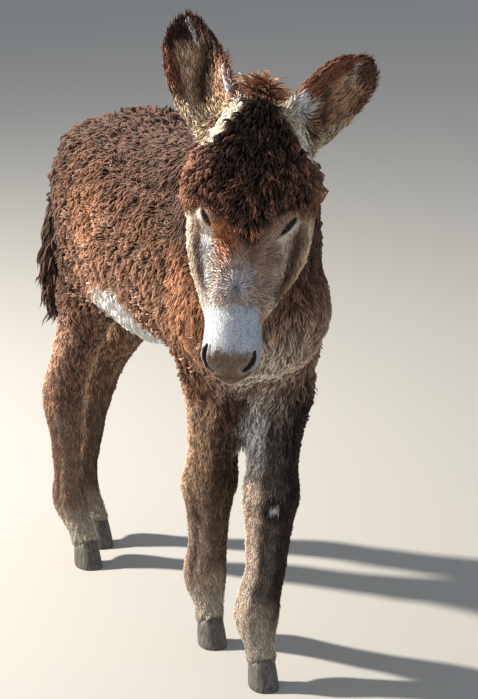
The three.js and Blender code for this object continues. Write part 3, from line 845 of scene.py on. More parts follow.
def body_colours(points):
    x, y, z = points.T
    blotch, fine = grain(points, 0.07, 1), grain(points, 0.018, 2)
    edge, belly = belly_edge(points), belly_of(points)
    # painted shade along the top of the back, in two layers
    high = fade(z, 0.64, 0.80) * fade(y, -0.36, -0.26)
    top = fade(z, 0.73, 0.85) * fade(y, -0.26, -0.10)
    # painted light on the middle of the flank
    side = bell(z - 0.62, 0.08) * fade(y, -0.18, -0.06) * fade(y, 0.27, 0.16)
    rump = fade(y, 0.22, 0.37) * fade(z, 0.40, 0.52)
    # painted light in the hollow of the right flank
    lit_hollow = bell(np.hypot(y - 0.12, (z - 0.70) / 1.4), 0.05) * fade(x, 0, -0.05)
    flank = fade(z, edge + 0.07, edge) * fade(y, -0.16, -0.1) * fade(y, 0.1, 0.0)
    shoulder = fade(y + 0.02 * fine, -0.17, -0.255) * fade(x, 0.01, -0.05) * fade(z, 0.80, 0.66)
    breast = fade(y, -0.20, -0.245) * fade(z, 0.64, 0.54) * bell(x - 0.03, 0.068)
    # painted shade on the left side of the trunk
    shaded_left_side = fade(x, 0.06, 0.1) * fade(y, -0.15, -0.25)
    low_breast = fade(y, -0.18, -0.24) * fade(z, 0.68, 0.59) * fade(x, -0.06, 0.0)
    return laid(
        all_over(points, BROWN),
        (0.35 + 0.45 * blotch + 0.2 * fine, DEEP),
        (high * (0.72 + 0.25 * fine), (82, 57, 45)),
        (0.7 * top, (58, 41, 34)),
        (0.5 * side * (1 + 0.4 * fine), (162, 124, 105)),
        (0.88 * rump, (58, 44, 38)),
        (0.45 * lit_hollow, (158, 108, 74)),
        (belly, CREAM),
        (0.4 * flank * (1 - belly), (150, 116, 92)),
        (shoulder * (0.85 + 0.25 * fine), RUST),
        (0.9 * breast, GREY_BEIGE),
        (0.6 * shaded_left_side, (84, 63, 53)),
        (0.4 * low_breast, (196, 168, 146)),
    )


def neck_colours(points, body):
    x, y, z = points.T
    right = fade(x, -0.02, -0.09)
    return laid(
        body,
        # painted shadow of the head on the upper right of the neck, with its own rust lower down
        (right, (76, 54, 43)),
        (right * fade(z, 0.76, 0.66), (162, 117, 89)),
        # painted shade on the left side of the neck
        (0.8 * fade(x, 0.04, 0.08), (74, 56, 48)),
    )


# %% [markdown]
# ## The legs
#
# Each leg has its own tones outside, in front and inside, and each of them changes from the
# forearm down to the shin. Over them, the side of each leg that faces the foal's right is lighter
# with painted light, the far side and the front darker with painted shade, and the tendon grooves
# dark with painted shade. The pasterns are pale above every hoof. On the inside of the left knee
# sits a small bare callus in a dark ring, such as every donkey has on its forelegs.

# %% The legs
KNEE_MARK = np.array([0.051, -0.2545, 0.287])
# over each leg's own tones, the side facing the foal's right is lighter with painted light, the far side
# and the front darker with painted shade
LEG_TONES_AND_LIGHT = {  # outside, in front and inside, each high on the leg and low on the shin
    "leg_front_right": [
        ((196, 158, 130), (180, 154, 134)), ((78, 59, 49), (108, 91, 77)), ((78, 58, 46), (84, 66, 54))
    ],
    "leg_front_left": [
        ((56, 45, 41), (54, 44, 40)), ((92, 81, 75), (110, 99, 91)), ((220, 216, 212), (218, 190, 168))
    ],
    "leg_hind_right": [
        ((172, 134, 112), (152, 122, 102)), ((124, 96, 80), (134, 112, 94)),
        ((150, 124, 100), (128, 104, 84))
    ],
    "leg_hind_left": [
        ((104, 78, 64), (92, 72, 60)), ((140, 112, 88), (122, 100, 82)), ((160, 132, 106), (140, 116, 94))
    ],
}


def leg_colours(points, parts, body):
    """The body's colours, with the legs' own tones and their painted light and shade over them."""
    z = points[:, 2]
    fine = grain(points, 0.02, 3)
    colours = body
    for name, tones in LEG_TONES_AND_LIGHT.items():
        front = "front" in name
        nearer = name == "leg_front_left"
        angle = round_leg(points, name) + 14 * fine
        knee = 0.40 if nearer else 0.33
        low = fade(z, knee, knee - 0.09)[:, None]
        outer, middle, inner = [tone(a) + low * (tone(b) - tone(a)) for a, b in tones]
        lit = 12 if front else 0
        shin = fade(z, 0.07, 0.10) * fade(z, 0.30, 0.25)
        groove = bell(np.abs(angle) - (24 if nearer else 60), 12)
        ball = bell(z - 0.115, 0.022) * bell(angle + 6, 42)
        leg = laid(
            middle,
            (fade(angle, 18 - lit, 48 - lit), outer),
            (fade(angle, lit - 30, lit - 50), inner),
            # painted shade in the tendon grooves
            (0.8 * shin * groove, (56, 43, 36)),
            (0.75 * nearer * (fade(z, 0.40, 0.49) * fade(angle, 42, 12)), (196, 176, 158)),
            (0.5 * front * bell(angle - 5, 40) * bell(z - 0.29, 0.05), (72, 56, 48)),
            (0.85 * fade(z, 0.125, 0.075), (196, 182, 162)),
            (0.7 * ball * front, (206, 184, 160)),
            (0.5 * fade(z, 0.052, 0.046), (96, 86, 78)),
        )
        share = parts[name] * (1 if front else fade(z, 0.52, 0.44))
        colours = laid(colours, (share, leg))
    away = np.linalg.norm(points - KNEE_MARK, axis=1)
    return laid(
        colours,
        (0.92 * fade(away, 0.026, 0.014), (36, 29, 26)),
        (fade(away, 0.0095, 0.007), (232, 228, 222)),
    )


# %% [markdown]
# ## The face
#
# A woolly cap hangs over the forehead, and its lower edge is a line of points across the brow.
# Below it come the stripes: a pale one and a dark one run from each eye down the cheek, and a
# third, nearly white, on the inside. The muzzle is white from a straight edge on, its front bluish
# grey with painted shade, with a brown pad between the nostrils, and painted shade inside the
# nostrils and along the mouth. Each side has its own widths, as on the animal, and its own tones:
# painted light on the right, painted shade on the left.

# %% The cap, the ears' feet and the orange tuft
DOME_EDGE = (  # across the brow, and how far down the cap reaches there
    (-96, -86, -62, -48, -28, -12, 2, 14, 24, 49, 75, 96),
    (-34, -16, -6, -2, 5, 18, 36, 26, 4, -15, -29, -46),
)
EAR_FEET = {  # the line round the front of each ear's base
    "ear_right": [
        (-0.101, -0.384, 0.909), (-0.097, -0.400, 0.915), (-0.086, -0.417, 0.931),
        (-0.070, -0.406, 0.951)
    ],
    "ear_left": [
        (0.006, -0.441, 0.945), (0.020, -0.455, 0.918), (0.034, -0.458, 0.894),
        (0.052, -0.438, 0.886)
    ],
}


def ear_foot(points, reach):
    """1 on the pale, short-haired skin in front of the base of each ear."""
    wide = reach + 0.006 * grain(points, 0.012, 8)
    near = [reach_of(points, path)[0] for path in EAR_FEET.values()]
    return fade(np.min(near, axis=0), wide, wide - 0.008)


def dome_of(points):
    """1 in the woolly cap over the forehead, 0 on the short-haired face."""
    x, out, down = in_face(points).T
    edge = np.interp(x, *DOME_EDGE)
    cap = fade(down + 5 * grain(points, 0.012, 6), edge + 7, edge - 7)
    return cap * (1 - ear_foot(points, 0.026))


def orange_of(points):
    """1 on the bright tuft inside the right eye."""
    x, out, down = in_face(points).T
    corner = bell(np.hypot(x + 36, (down - 12) / 1.2), 18)
    corner = corner + bell(np.hypot(x + 20, (down - 32) / 1.5), 14)
    return np.clip(1.15 * corner, 0, 1)


# %% The stripes and rings round each eye
STRIPES = {  # the line of each stripe, on the foal's left: across and down the face
    "dark": [(71, 2), (68, 34), (61, 66), (50, 94)],
    "pale": [(84, -12), (87, 30), (76, 74), (58, 104), (43, 128)],
    "inner": [(56, 22), (54, 52), (46, 90), (40, 118)],
}
# the paler tones on the right are painted light, the duller ones on the left painted shade
EYE_LOOKS = {  # what differs between the two sides: widths, tones and the line of the tear
    "right": {
        "dark": 5.8, "inner": 10.5, "pale tone": (238, 216, 192), "inner tone": (246, 232, 214),
        "tear": [(50, 15), (46, 21)], "lid edge": 62,
    },
    "left": {
        "dark": 7.5, "inner": 8.5, "pale tone": (206, 178, 152), "inner tone": (206, 184, 164),
        "tear": [(46, 16), (41, 23)], "lid edge": 66,
    },
}


def streak(x, down, path, width):
    """A stripe down the face, through the points of its path."""
    return bell(reach_of(np.stack([x, down], 1), path)[0], width)


def eye_colours(points, colours, side):
    """The stripes, the pale ring and the dark rim of one eye."""
    places = in_face(points)
    looks = EYE_LOOKS[side]
    across, down = places[:, 0] * (-1 if side == "right" else 1), places[:, 2]
    dark = streak(across, down, STRIPES["dark"], looks["dark"])
    pale = streak(across, down, STRIPES["pale"], 9.5)
    inner = streak(across, down, STRIPES["inner"], looks["inner"])
    ring = bell(np.linalg.norm(places - EYES_IN_FACE[side], axis=1), 31)
    near, along = reach_of(places, SLITS[side])
    slit = np.interp(across, [40, 72], [20, -12])
    below, above = fade(down - slit, 2, 6), fade(slit - down, 2, 9)
    rim = 2.2 + 2.8 * np.sin(np.pi * np.clip(along, 0, 1))
    return laid(
        colours,
        (0.9 * pale, looks["pale tone"]),
        (0.75 * ring * fade(down, -24, -6), (200, 176, 154)),
        (0.92 * inner, looks["inner tone"]),
        (0.8 * inner * fade(down, 64, 40) * (side == "right"), (232, 234, 242)),
        (0.92 * dark, (72, 54, 46)),
        (0.5 * fade(near, 13, 7) * (across < looks["lid edge"]), (150, 126, 112)),
        (0.65 * above * bell(near - 15, 9), (138, 98, 72)),
        # painted highlight on the lower lid, under the slit
        (0.8 * below * bell(near - 7.5, 3.2), (232, 214, 196)),
        (0.85 * streak(across, down, looks["tear"], 1.9), (40, 30, 26)),
        (fade(near, rim + 0.9, rim - 0.9), (34, 25, 23)),
    )


# %% The middle of the face, the muzzle and the cap
def muzzle_colours(points, colours, fine, hair):
    places = in_face(points)
    x, out, down = places.T
    left_edge = np.interp(down, [112, 136, 150], [27, 29, 70]) + 3 * hair
    white = fade(down + 1.5 * hair, 117 - 0.12 * x, 121 - 0.12 * x) * fade(out, -84, -66)
    white = white * fade(x, left_edge + 2.5, left_edge - 2.5)
    shaded = white * fade(x, -24, 0) * fade(x, 48, 38)
    nose = fade(down + 5 * fine + 3 * hair, 176, 192) * fade(np.abs(x + 6), 40, 30)
    colours = laid(
        colours,
        (white, MUZZLE),
        # painted shade: the front of the muzzle bluish grey
        (0.8 * shaded, (150, 160, 174)),
        ((0.96 + 0.12 * hair) * nose, NOSE),
        (0.8 * fade(down, 221, 226) * fade(out, -22, -30), (112, 92, 70)),
        (fade(out, -38, -52) * fade(down, 196, 214), (222, 206, 180)),
    )
    for side, path in NOSTRILS.items():
        away, along = reach_of(places, path)
        rim = (2.6 + 3.0 * np.sin(np.pi * along)) * (1.35 if side == "right" else 1.0)
        colours = laid(
            colours,
            (0.45 * bell(away - 7.5, 3.0), (150, 140, 132)),
            # painted shade: the inside of the nostril near black
            (fade(away, rim + 1.6, rim), (30, 22, 20)),
        )
    spot = np.linalg.norm(places - (32, 1, 172), axis=1)
    # painted shade along the groove of the mouth
    mouth = bell(reach_of(places, MOUTH)[0], 2.6)
    return laid(colours, (0.7 * mouth, (70, 56, 50)), (fade(spot, 2.6, 1.4), (40, 34, 34)))


def crown_colours(points, fine, hair):
    x, out, down = in_face(points).T
    fringe = fade(np.interp(x, *DOME_EDGE) - down, 32, 0)
    return laid(
        all_over(points, (68, 50, 42)),
        # rust tips of the curls, lightened as painted highlights
        (fade(fine + 0.5 * hair, -0.1, 0.7), (154, 106, 80)),
        (0.7 * fade(x + 20 * fine, -34, -76), (104, 70, 53)),
        (0.75 * fade(down, -60, -100) * fade(np.abs(x + 4), 66, 36), (40, 31, 29)),
        (0.5 * fade(x + 20 * fine, 50, 85), (104, 76, 60)),
        (0.5 * fringe * fade(x, 10, -30), (128, 80, 54)),
    )


def face_colours(points):
    x, out, down = in_face(points).T
    fine, hair = grain(points, 0.012, 4), grain(points, 0.005, 5)
    whorl = bell(np.hypot((x + 8) / 1.1, (down - 90) / 1.1), 25)
    colours = laid(
        all_over(points, (116, 88, 70)),
        (0.5 + 0.5 * fine, (134, 104, 82)),
        (fade(out, -60, -95), (120, 92, 72)),
        (0.9 * (bell(x + 4, 46) * fade(down, 4, 22)), (178, 144, 121)),
        (0.5 * bell(np.hypot(x + 34, (down - 62) / 1.6), 12), (152, 96, 70)),
        (0.95 * whorl * (0.75 + 0.4 * hair), (192, 190, 196)),
        (0.55 * bell(np.hypot((x + 6) / 0.7, (down - 100) / 1.8), 8), (70, 68, 74)),
        (0.7 * bell(np.hypot(x + 5, down - 95), 6), (58, 58, 66)),
    )
    for side in ("right", "left"):
        colours = eye_colours(points, colours, side)
    colours = laid(
        colours,
        ((0.9 + 0.3 * hair) * orange_of(points), (192, 116, 66)),
        (0.7 * bell(np.hypot(x - 12, (down - 48) / 1.8), 9), (116, 82, 62)),
    )
    return laid(
        muzzle_colours(points, colours, fine, hair),
        (ear_foot(points, 0.028), (242, 222, 190)),
        (dome_of(points), crown_colours(points, fine, hair)),
    )


# %% [markdown]
# ## The ears, the mane and the tail
#
# An ear is an open cup: dark at the rims and the tip, cream and fluffy inside, and darker with
# painted shade in the crevice where the cup folds. The two ears are turned differently, so each has
# its own list of patches. A short mane stands along the crest, with a lighter tuft between the ears.

# %% The ears
DARK_EAR, EAR_RIM, EAR_CREAM = (52, 36, 29), (112, 68, 50), (238, 204, 166)


def ear_streak(along, across, path, width):
    """A stripe inside the ear; the path runs in steps along and across it."""
    flat = np.stack([along * 5, across], 1)
    return bell(reach_of(flat, [(a * 5, b) for a, b in path])[0], width)


def right_cup(along, across, fine):
    crevice_shade = [(0.74, -0.42), (0.56, -0.16), (0.42, 0.22), (0.26, 0.34)]
    lining = [(0.90, 0.2), (0.76, 0.12), (0.70, 0.02)]
    return (
        (0.9 * fade(across, -0.15, -0.35) * fade(along, 0.44, 0.56), DARK_EAR),
        # painted shade in the crevice where the cup folds
        (0.97 * ear_streak(along, across, crevice_shade, 0.32), DARK_EAR),
        (0.9 * fade(across, 0.82, 1.0) * fade(along, 0.25, 0.4), EAR_RIM),
        (fade(along + 0.04 * fine, 0.68, 0.80), (62, 36, 30)),
        (0.9 * ear_streak(along, across, lining, 0.07), (206, 200, 200)),
        (0.9 * fade(across, -0.78, -0.95) * fade(along, 0.42, 0.5), (150, 104, 72)),
        (fade(across, -0.40, -0.6) * bell(along - 0.27, 0.17), (206, 216, 236)),
    )


def left_cup(along, across, fine):
    crevice_shade = [(0.46, -0.4), (0.38, 0.0), (0.24, 0.35)]
    lining = [(0.84, -0.6), (0.76, -0.3), (0.68, 0.0)]
    return (
        # painted shade in the crevice where the cup folds
        (0.8 * ear_streak(along, across, crevice_shade, 0.3), (74, 48, 36)),
        (0.8 * fade(along, 0.66, 0.8), DARK_EAR),
        (0.85 * fade(across, 0.6, 0.9) * fade(along, 0.4, 0.6), EAR_RIM),
        (0.95 * fade(across, -0.45, -0.68) * fade(along, 0.26, 0.36), (128, 80, 60)),
        (0.9 * ear_streak(along, across, lining, 0.09), (206, 196, 190)),
        (fade(along, 0.88, 0.96), (66, 40, 34)),
        (fade(across, -0.15, -0.45) * fade(along, 0.37, 0.27), (248, 240, 228)),
        (0.7 * fade(across, 0.7, 0.95) * fade(along, 0.42, 0.3), EAR_CREAM),
    )


EAR_LOOKS = {  # the fuzz inside, the patches over it and how high the cream foot reaches
    "ear_right": ((240, 198, 158), right_cup, 0.30),
    "ear_left": ((218, 172, 134), left_cup, 0.22),
}


def ear_colours(points, normals, ear):
    along, across, opening = in_ear(points, ear)
    fuzz, patches, foot = EAR_LOOKS[ear]
    fine = grain(points, 0.008, 7)
    back = laid(
        all_over(points, (124, 80, 58)),
        (fade(along, 0.6, 0.9), EAR_RIM),
        (0.8 * fade(along, 0.3, 0.08), (198, 166, 134)),
    )
    cup = laid(
        all_over(points, fuzz),
        (0.4 + 0.5 * fine, (168, 130, 102)),
        *patches(along, across, fine),
        (0.95 * fade(along + 0.04 * fine, foot, foot - 0.14), EAR_CREAM),
    )
    return blend(back, fade(normals @ opening, -0.1, 0.25), cup)


# %% The mane, and everything together
CREST = [(-0.014, -0.352), (-0.008, -0.30), (0.0, -0.24), (0.002, -0.17), (0.0, -0.12)]


def crest_of(points):
    """1 along the middle of the neck's top, where the mane stands, fading out at the withers."""
    x, y, z = points.T
    away = reach_of(points[:, :2], CREST)[0]
    return fade(away, 0.026, 0.016) * fade(y, -0.13, -0.20) * fade(z, 0.78, 0.82)


def poll_tuft(points):
    """1 on the tuft that stands between the ears."""
    x, y, z = points.T
    rough = 0.012 * grain(points, 0.012, 9)
    broad = fade(np.abs(x + 0.014) + rough, 0.058, 0.044)
    return broad * fade(np.abs(y + 0.352) - rough, 0.044, 0.030) * (z > 0.94)


def coat_colours(points, normals, parts):
    body = body_colours(points)
    colours = laid(
        leg_colours(points, parts, body),
        (parts["neck"], neck_colours(points, body)),
        (parts["head"], face_colours(points)),
    )
    for ear in EARS:
        colours = laid(colours, (fade(parts[ear], 0.3, 0.7), ear_colours(points, normals, ear)))
    tuft = 0.9 * poll_tuft(points) * (1 - ear_foot(points, 0.022))
    return laid(colours, (tuft, (190, 130, 90)), (parts["tail"], tone(TAIL_BROWN) * 1.15))


def hair_alone(colours):
    """A coat looks darker than its hairs, because they shade each other, so each hair is paler."""
    return 1 - (1 - np.clip(colours, 0, 0.98)) ** 1.45


points = points_of(skin.data)
edges = edges_of(skin.data)
up = even_normals(skin.data, 4)
colours = hair_alone(coat_colours(points, up, parts))
put(skin.data, "coat", colours, "FLOAT_COLOR")
print("painted", len(colours), "points, mean", np.round(colours.mean(0), 3))

# %% [markdown]
# ## The lie of the hair
#
# Hair lies the way it grew: back over the ribs, down the legs, out to the tip of an ear, and away
# from a whorl in the middle of the forehead. Each point of the skin gets a direction along the
# surface, and noise turns it a little, so the coat falls in swirls as wool does.

# %% The lie of the hair
def flow_of_body(points, up):
    y = points[:, 1]
    lie = np.tile((0.0, 0.75, -0.65), (len(points), 1))
    lie = blend(lie, fade(y, 0.25, 0.40), (0, 0.2, -1.0))
    lie = blend(lie, fade(y, -0.18, -0.26), (0, 0.15, -1.0))
    lie = blend(lie, belly_of(points), (0, 0.3, -1.0))
    return blend(lie, fade(-up[:, 2], 0.75, 0.95), (0, 1.0, 0))


def flow_of_face(points):
    """Out from the whorl, down the sides and the snout, and over the forehead in the cap."""
    x, out, down = in_face(points).T
    flow = unit(np.stack([x + 4, 0 * x, down - 94], 1))
    upper = fade(down, 94, 60)
    flow[:, 2] = flow[:, 2] * (1 - 0.4 * upper) + 0.1 * upper
    flow = blend(flow, fade(np.abs(x), 38, 58), (0.0, -0.35, 0.94))
    over = unit(np.stack([x * 0.9, 0 * x - 20, down + 250], 1))
    flow = blend(flow, dome_of(points), over)
    flow = blend(flow, fade(down, 118, 135), (0, -0.05, 1.0))
    return flow @ FACE_AXES


def level(vectors, up):
    """The vectors laid down flat on the surface."""
    return vectors - up * np.sum(vectors * up, 1)[:, None]


def lie_of_hair(points, up, parts):
    ways = {"trunk": flow_of_body(points, up), "neck": (0.0, 0.5, -0.85), "tail": (0.0, 0.05, -1.0)}
    ways |= {"head": flow_of_face(points)}
    ways |= {ear: np.array(tip) - np.array(base) for ear, (base, tip, _) in EARS.items()}
    total = sum(parts[n][:, None] * np.array(ways.get(n, (0.0, 0.12, -1.0))) for n in FLESH)
    return unit(level(averaged(level(total, up), edges, 10), up))


def swirled(lie, up, angles):
    side = np.cross(up, lie)
    return lie * np.cos(angles)[:, None] + side * np.sin(angles)[:, None]


SWING = 1.6
legs_share = sum(parts[n] for n in LEGS)
ears_share = parts["ear_left"] + parts["ear_right"]
cap_share = parts["head"] * dome_of(points)
wool = parts["trunk"] + parts["neck"] + cap_share + legs_share * fade(points[:, 2], 0.38, 0.52)
angles = 0.12 + 0.62 * np.clip(wool, 0, 1)
angles = SWING * (angles * (grain(points, 0.055, 11) + 0.75 * grain(points, 0.021, 12)))
lie = swirled(lie_of_hair(points, up, parts), up, angles)
lash_up = up.copy()
for side, rows in lash.items():
    axis, across = (eye_frame(side)[k] @ FACE_AXES for k in (1, 3))
    lie[rows > 0] = 0.7 * axis - 0.7 * across
    lash_up[rows > 0] = 0.7 * axis + 0.7 * across
put(skin.data, "up", lash_up, "FLOAT_VECTOR")
put(skin.data, "lie", lie, "FLOAT_VECTOR")
print("the hair turns by up to", round(math.degrees(np.abs(angles).max())), "degrees")

# %% [markdown]
# ## How long, how wide, how thick
#
# The coat is woolly on trunk, neck and crown, shorter down the legs, and like velvet on the
# muzzle. These are three numbers on each point, in metres: the length of a lock, its width, and
# how far its middle stands off the skin. The tables below give them in millimetres. Each one is a
# starting value for a part of the body, and the lines after it lead over to its special places.

# %% Lengths, widths and thickness
LEG_HAIR = (  # by height in metres, and the length, width and standing height there
    (0.03, 0.06, 0.12, 0.22, 0.33, 0.42, 0.52),
    (8, 8.5, 8.5, 9, 11, 15, 20),
    (1.5, 1.5, 1.5, 1.6, 1.8, 2.2, 2.5),
    (1.6, 1.9, 2.0, 2.2, 3.2, 5.2, 8.0),
)
LASH = (12.0, 0.7, 1.2)


def hair_of_face(points):
    x, out, down = in_face(points).T
    under_cap = fade(np.interp(x, *DOME_EDGE) - down, 0, 35)[:, None]
    crown = np.array((13.0, 2.0, 4.0)) + under_cap * np.array((8.0, 0.5, 6.0))
    hair = np.tile((9.5, 1.4, 1.9), (len(points), 1))
    for share, sizes in (
        (fade(np.abs(x), 50, 82), (14.0, 1.9, 3.2)),
        (fade(out, -40, -80), (20.0, 2.2, 5.0)),
        (orange_of(points), (13.0, 1.7, 3.6)),
        (fade(down, 112, 128), (4.4, 1.2, 0.5)),
        (dome_of(points), crown),
        (ear_foot(points, 0.026), (12.0, 2.2, 3.4)),
        (fade(eye_reach(points), 0.044, 0.024), (6.5, 1.3, 0.9)),
    ):
        hair = blend(hair, share, sizes)
    return hair


def by_part(points, parts):
    """Length, width and standing height of the locks, in millimetres, one row for each point."""
    heights, *columns = LEG_HAIR
    leg = np.stack([np.interp(points[:, 2], heights, column) for column in columns], 1)
    trunk = (26.0, 1.9, 7.0) + belly_of(points)[:, None] * (5.0, 0.1, -0.8)
    tables = {
        "trunk": blend(trunk, fade(points[:, 1], -0.18, -0.22), (27.0, 1.7, 4.5)),
        "neck": (27.0, 1.8, 5.5) + crest_of(points)[:, None] * (8.0, 0.4, 0),
        "tail": np.array((56.0, 4.5, 7.0)),
        "head": hair_of_face(points),
    }
    for ear in EARS:
        inside = fade(up @ in_ear(points, ear)[2], 0.0, 0.3)[:, None]
        tables[ear] = np.array((8.0, 1.8, 1.6)) + inside * np.array((4.0, -0.1, 1.2))
    return sum(parts[n][:, None] * tables.get(n, leg) for n in FLESH)


sizes = by_part(points, parts) * MM
sizes[:, 0] *= 1 + 0.2 * grain(points, 0.03, 14)
sizes[:, 2] *= 1 + 0.65 * grain(points, 0.017, 13) * np.clip(wool, 0, 1)
sizes[lashes > 0] = np.array(LASH) * MM
for name, column in zip(("long", "wide", "lift"), sizes.T):
    put(skin.data, name, column)
# how bare the skin is; the skin material paints shade on it where this is low
put(skin.data, "bare", np.clip(1.15 - wool - 0.9 * ears_share - 0.5 * legs_share, 0.35, 1.0))
put(skin.data, "kind", np.clip(0.5 + 0.75 * grain(points, 0.02, 21), 0, 1))
print("locks from", round(sizes[:, 0].min() / MM, 1), "to", round(sizes[:, 0].max() / MM), "mm")

# %% [markdown]
# ## Pieces of coat
#
# One mesh for the whole coat would be too large to handle, so every square of the skin is given
# the number of the piece of coat that grows on it. Nothing grows on the lips, the rims of the
# nostrils and lids, the callus on the knee and the ends that go into the hooves.

# %% Which piece of coat grows where
PIECES = ["flank_right", "shoulder_right", "flank_left", "shoulder_left", "neck", "face", "crown"]
PIECES += ["ears", "tail", "mane", "belly", "chest", "lashes"] + LEGS
BARE = -1
CLEARINGS = [(path, 6.4) for path in NOSTRILS.values()]
CLEARINGS += [(MOUTH, 2.0)] + [(path, 5.5) for path in SLITS.values()]


def piece_of(points, up, parts):
    owner = np.array(FLESH)[np.stack([parts[n] for n in FLESH], 1).argmax(1)]
    x, y, z = points.T
    trunk, head, neck = (owner == name for name in ("trunk", "head", "neck"))
    right, front = x < 0, y < 0.03
    cap = dome_of(points) > 0.5
    on_top = up[:, 2] > 0.3
    regions = [
        ("flank_right", trunk & right & ~front), ("shoulder_right", trunk & right & front),
        ("flank_left", trunk & ~right & ~front), ("shoulder_left", trunk & ~right & front),
        ("chest", trunk & (y < -0.205)), ("belly", trunk & (belly_of(points) > 0.5)),
        ("neck", neck), ("mane", neck & (crest_of(points) > 0.3) & on_top),
        ("face", head & ~cap), ("crown", head & cap),
        ("ears", (owner == "ear_left") | (owner == "ear_right")), ("tail", owner == "tail"),
        ("mane", (poll_tuft(points) > 0.5) & on_top),
    ]
    regions += [(name, owner == name) for name in LEGS]
    chosen = np.full(len(points), BARE)
    for name, where in regions:
        chosen[where] = PIECES.index(name)
    chosen[(z < 0.049) | (np.linalg.norm(points - KNEE_MARK, axis=1) < 0.0075)] = BARE
    places = in_face(points)
    for path, clear in CLEARINGS:
        chosen[reach_of(places, path)[0] < clear] = BARE
    chosen[lashes == 1.0] = PIECES.index("lashes")
    return chosen


corner_of = np.array([p.vertices[0] for p in skin.data.polygons])
piece = piece_of(points, up, parts)[corner_of]
layer = skin.data.attributes.new("piece", "INT", "FACE")
layer.data.foreach_set("value", piece.astype(np.int32))
print({name: int(np.sum(piece == k)) for k, name in enumerate(PIECES)})

# %% [markdown]
# ## The skin laid flat
#
# Each lock takes one small patch of a picture at the place of its root, so the skin needs a map on
# which it lies flat. Smart UV Project cuts the surface where it turns and lays the pieces out by
# themselves, which is enough here, because nobody paints on this map by hand.

# %% The skin laid flat
skin.data.uv_layers.new(name="skin_map")
bpy.context.view_layer.objects.active = skin
skin.select_set(True)
bpy.ops.object.mode_set(mode="EDIT")
bpy.ops.mesh.select_all(action="SELECT")
bpy.ops.uv.smart_project(angle_limit=math.radians(70), island_margin=0.001)
bpy.ops.object.mode_set(mode="OBJECT")
skin.select_set(False)
print("laid flat:", [m.name for m in skin.data.uv_layers])

# %% [markdown]
# ## A lock of hair
#
# A lock is a thin, bent, three-sided spike: a few rings of three points and a tip. It is modelled
# one unit long, wide and high, so that the three numbers on the skin scale it to its real size.
# Woolly locks wave from side to side and curl back down, soft ones do so less, sleek ones only
# bend, and long hair has more rings. There are six to eight of each kind, so that no two
# neighbours look alike.

# %% A lock of hair
def lock_mesh(name, stations, path, half_widths, ridge=0.8):
    """A three-sided spike along the path; its last point is the tip."""
    points = []
    for (x, y, z), half in zip(path[:-1], half_widths):
        points += [(x, y - half, z), (x, y + half, z), (x, y, z + ridge * half)]
    points.append(tuple(path[-1]))
    faces = [(0, 2, 1)]
    last = len(path) - 2
    for ring in range(last):
        for side in range(3):
            a, b = ring * 3 + side, ring * 3 + (side + 1) % 3
            faces.append((a, b, b + 3, a + 3))
    faces += [(last * 3 + side, last * 3 + (side + 1) % 3, last * 3 + 3) for side in range(3)]
    mesh = bpy.data.meshes.new(name)
    mesh.from_pydata(points, [], faces)
    along = np.append(np.repeat(stations[:-1], 3), 1.0)
    put(mesh, "along", along)
    patch = mesh.attributes.new("tuft_uv", "FLOAT2", "CORNER")
    for loop in mesh.loops:
        patch.data[loop.index].vector = (along[loop.vertex_index], loop.vertex_index % 3 / 2)
    shade_smooth(mesh)
    return mesh


def locks(name, count, stations, wave, hook, heights, seed):
    """A collection of different locks for the planting tree to choose from."""
    chosen = bpy.data.collections.new(name)
    random = np.random.default_rng(seed)
    stations = np.array(stations)
    half_widths = 0.5 * np.interp(stations, [0, 0.3, 0.6, 0.85, 1], [0.75, 1.0, 0.85, 0.5, 0])
    for index in range(count):
        phase, turns = 2 * math.pi * index / count, random.uniform(0.9, 1.1)
        side = math.cos(phase + 0.7)
        y = wave * (np.sin(2 * math.pi * turns * stations + phase) - math.sin(phase))
        y = y * stations**0.4 + side * hook * stations**2.5
        z = np.interp(stations, [0, 0.25, 0.5, 0.75, 1], heights) * random.uniform(0.85, 1.15)
        x = stations - 0.12 * hook * stations**3
        mesh = lock_mesh(f"{name}_{index}", stations, np.stack([x, y, z], 1), half_widths)
        chosen.objects.link(bpy.data.objects.new(mesh.name, mesh))
    return chosen


woolly = locks("woolly", 8, (0, 0.36, 0.7, 1), 0.5, 0.6, (-0.3, 0.5, 0.95, 1.05, 0.65), 1)
sleek = locks("sleek", 6, (0, 0.5, 1), 0.2, 0.4, (-0.35, 0.4, 0.7, 0.85, 0.8), 2)
soft = locks("soft", 7, (0, 0.34, 0.68, 1), 0.42, 0.5, (-0.3, 0.5, 0.85, 0.95, 0.7), 4)
long_hair = locks("long_hair", 6, (0, 0.25, 0.5, 0.75, 1), 0.8, 0.8, (-0.3, 0.5, 0.8, 0.9, 0.7), 3)

# %% [markdown]
# ## Planting the locks
#
# Geometry Nodes scatters points over the skin, never closer together than a set spacing, turns one
# lock at each point to its normal and lie with a little disorder, and scales it by the three
# numbers stored there. Realize Instances makes them real mesh. The tree is written once, and every
# piece of coat gives it its own inputs. Two short helpers keep the writing small: one makes a node
# and fills or links its inputs, the other makes a node for arithmetic.

# %% Writing nodes
def node(tree, kind, inputs=None, **settings):
    """A new node; each input, by name or number, takes a plain value or a link."""
    made = tree.nodes.new(kind)
    for name, value in settings.items():
        setattr(made, name, value)
    for key, value in (inputs or {}).items():
        if isinstance(value, bpy.types.NodeSocket):
            tree.links.new(value, made.inputs[key])
        else:
            made.inputs[key].default_value = value
    return made


def number(tree, operation, *terms):
    return node(tree, "ShaderNodeMath", dict(enumerate(terms)), operation=operation).outputs[0]


def vector(tree, operation, *terms):
    return node(tree, "ShaderNodeVectorMath", dict(enumerate(terms)), operation=operation).outputs[0]


def combined(tree, **axes):
    return node(tree, "ShaderNodeCombineXYZ", axes).outputs["Vector"]


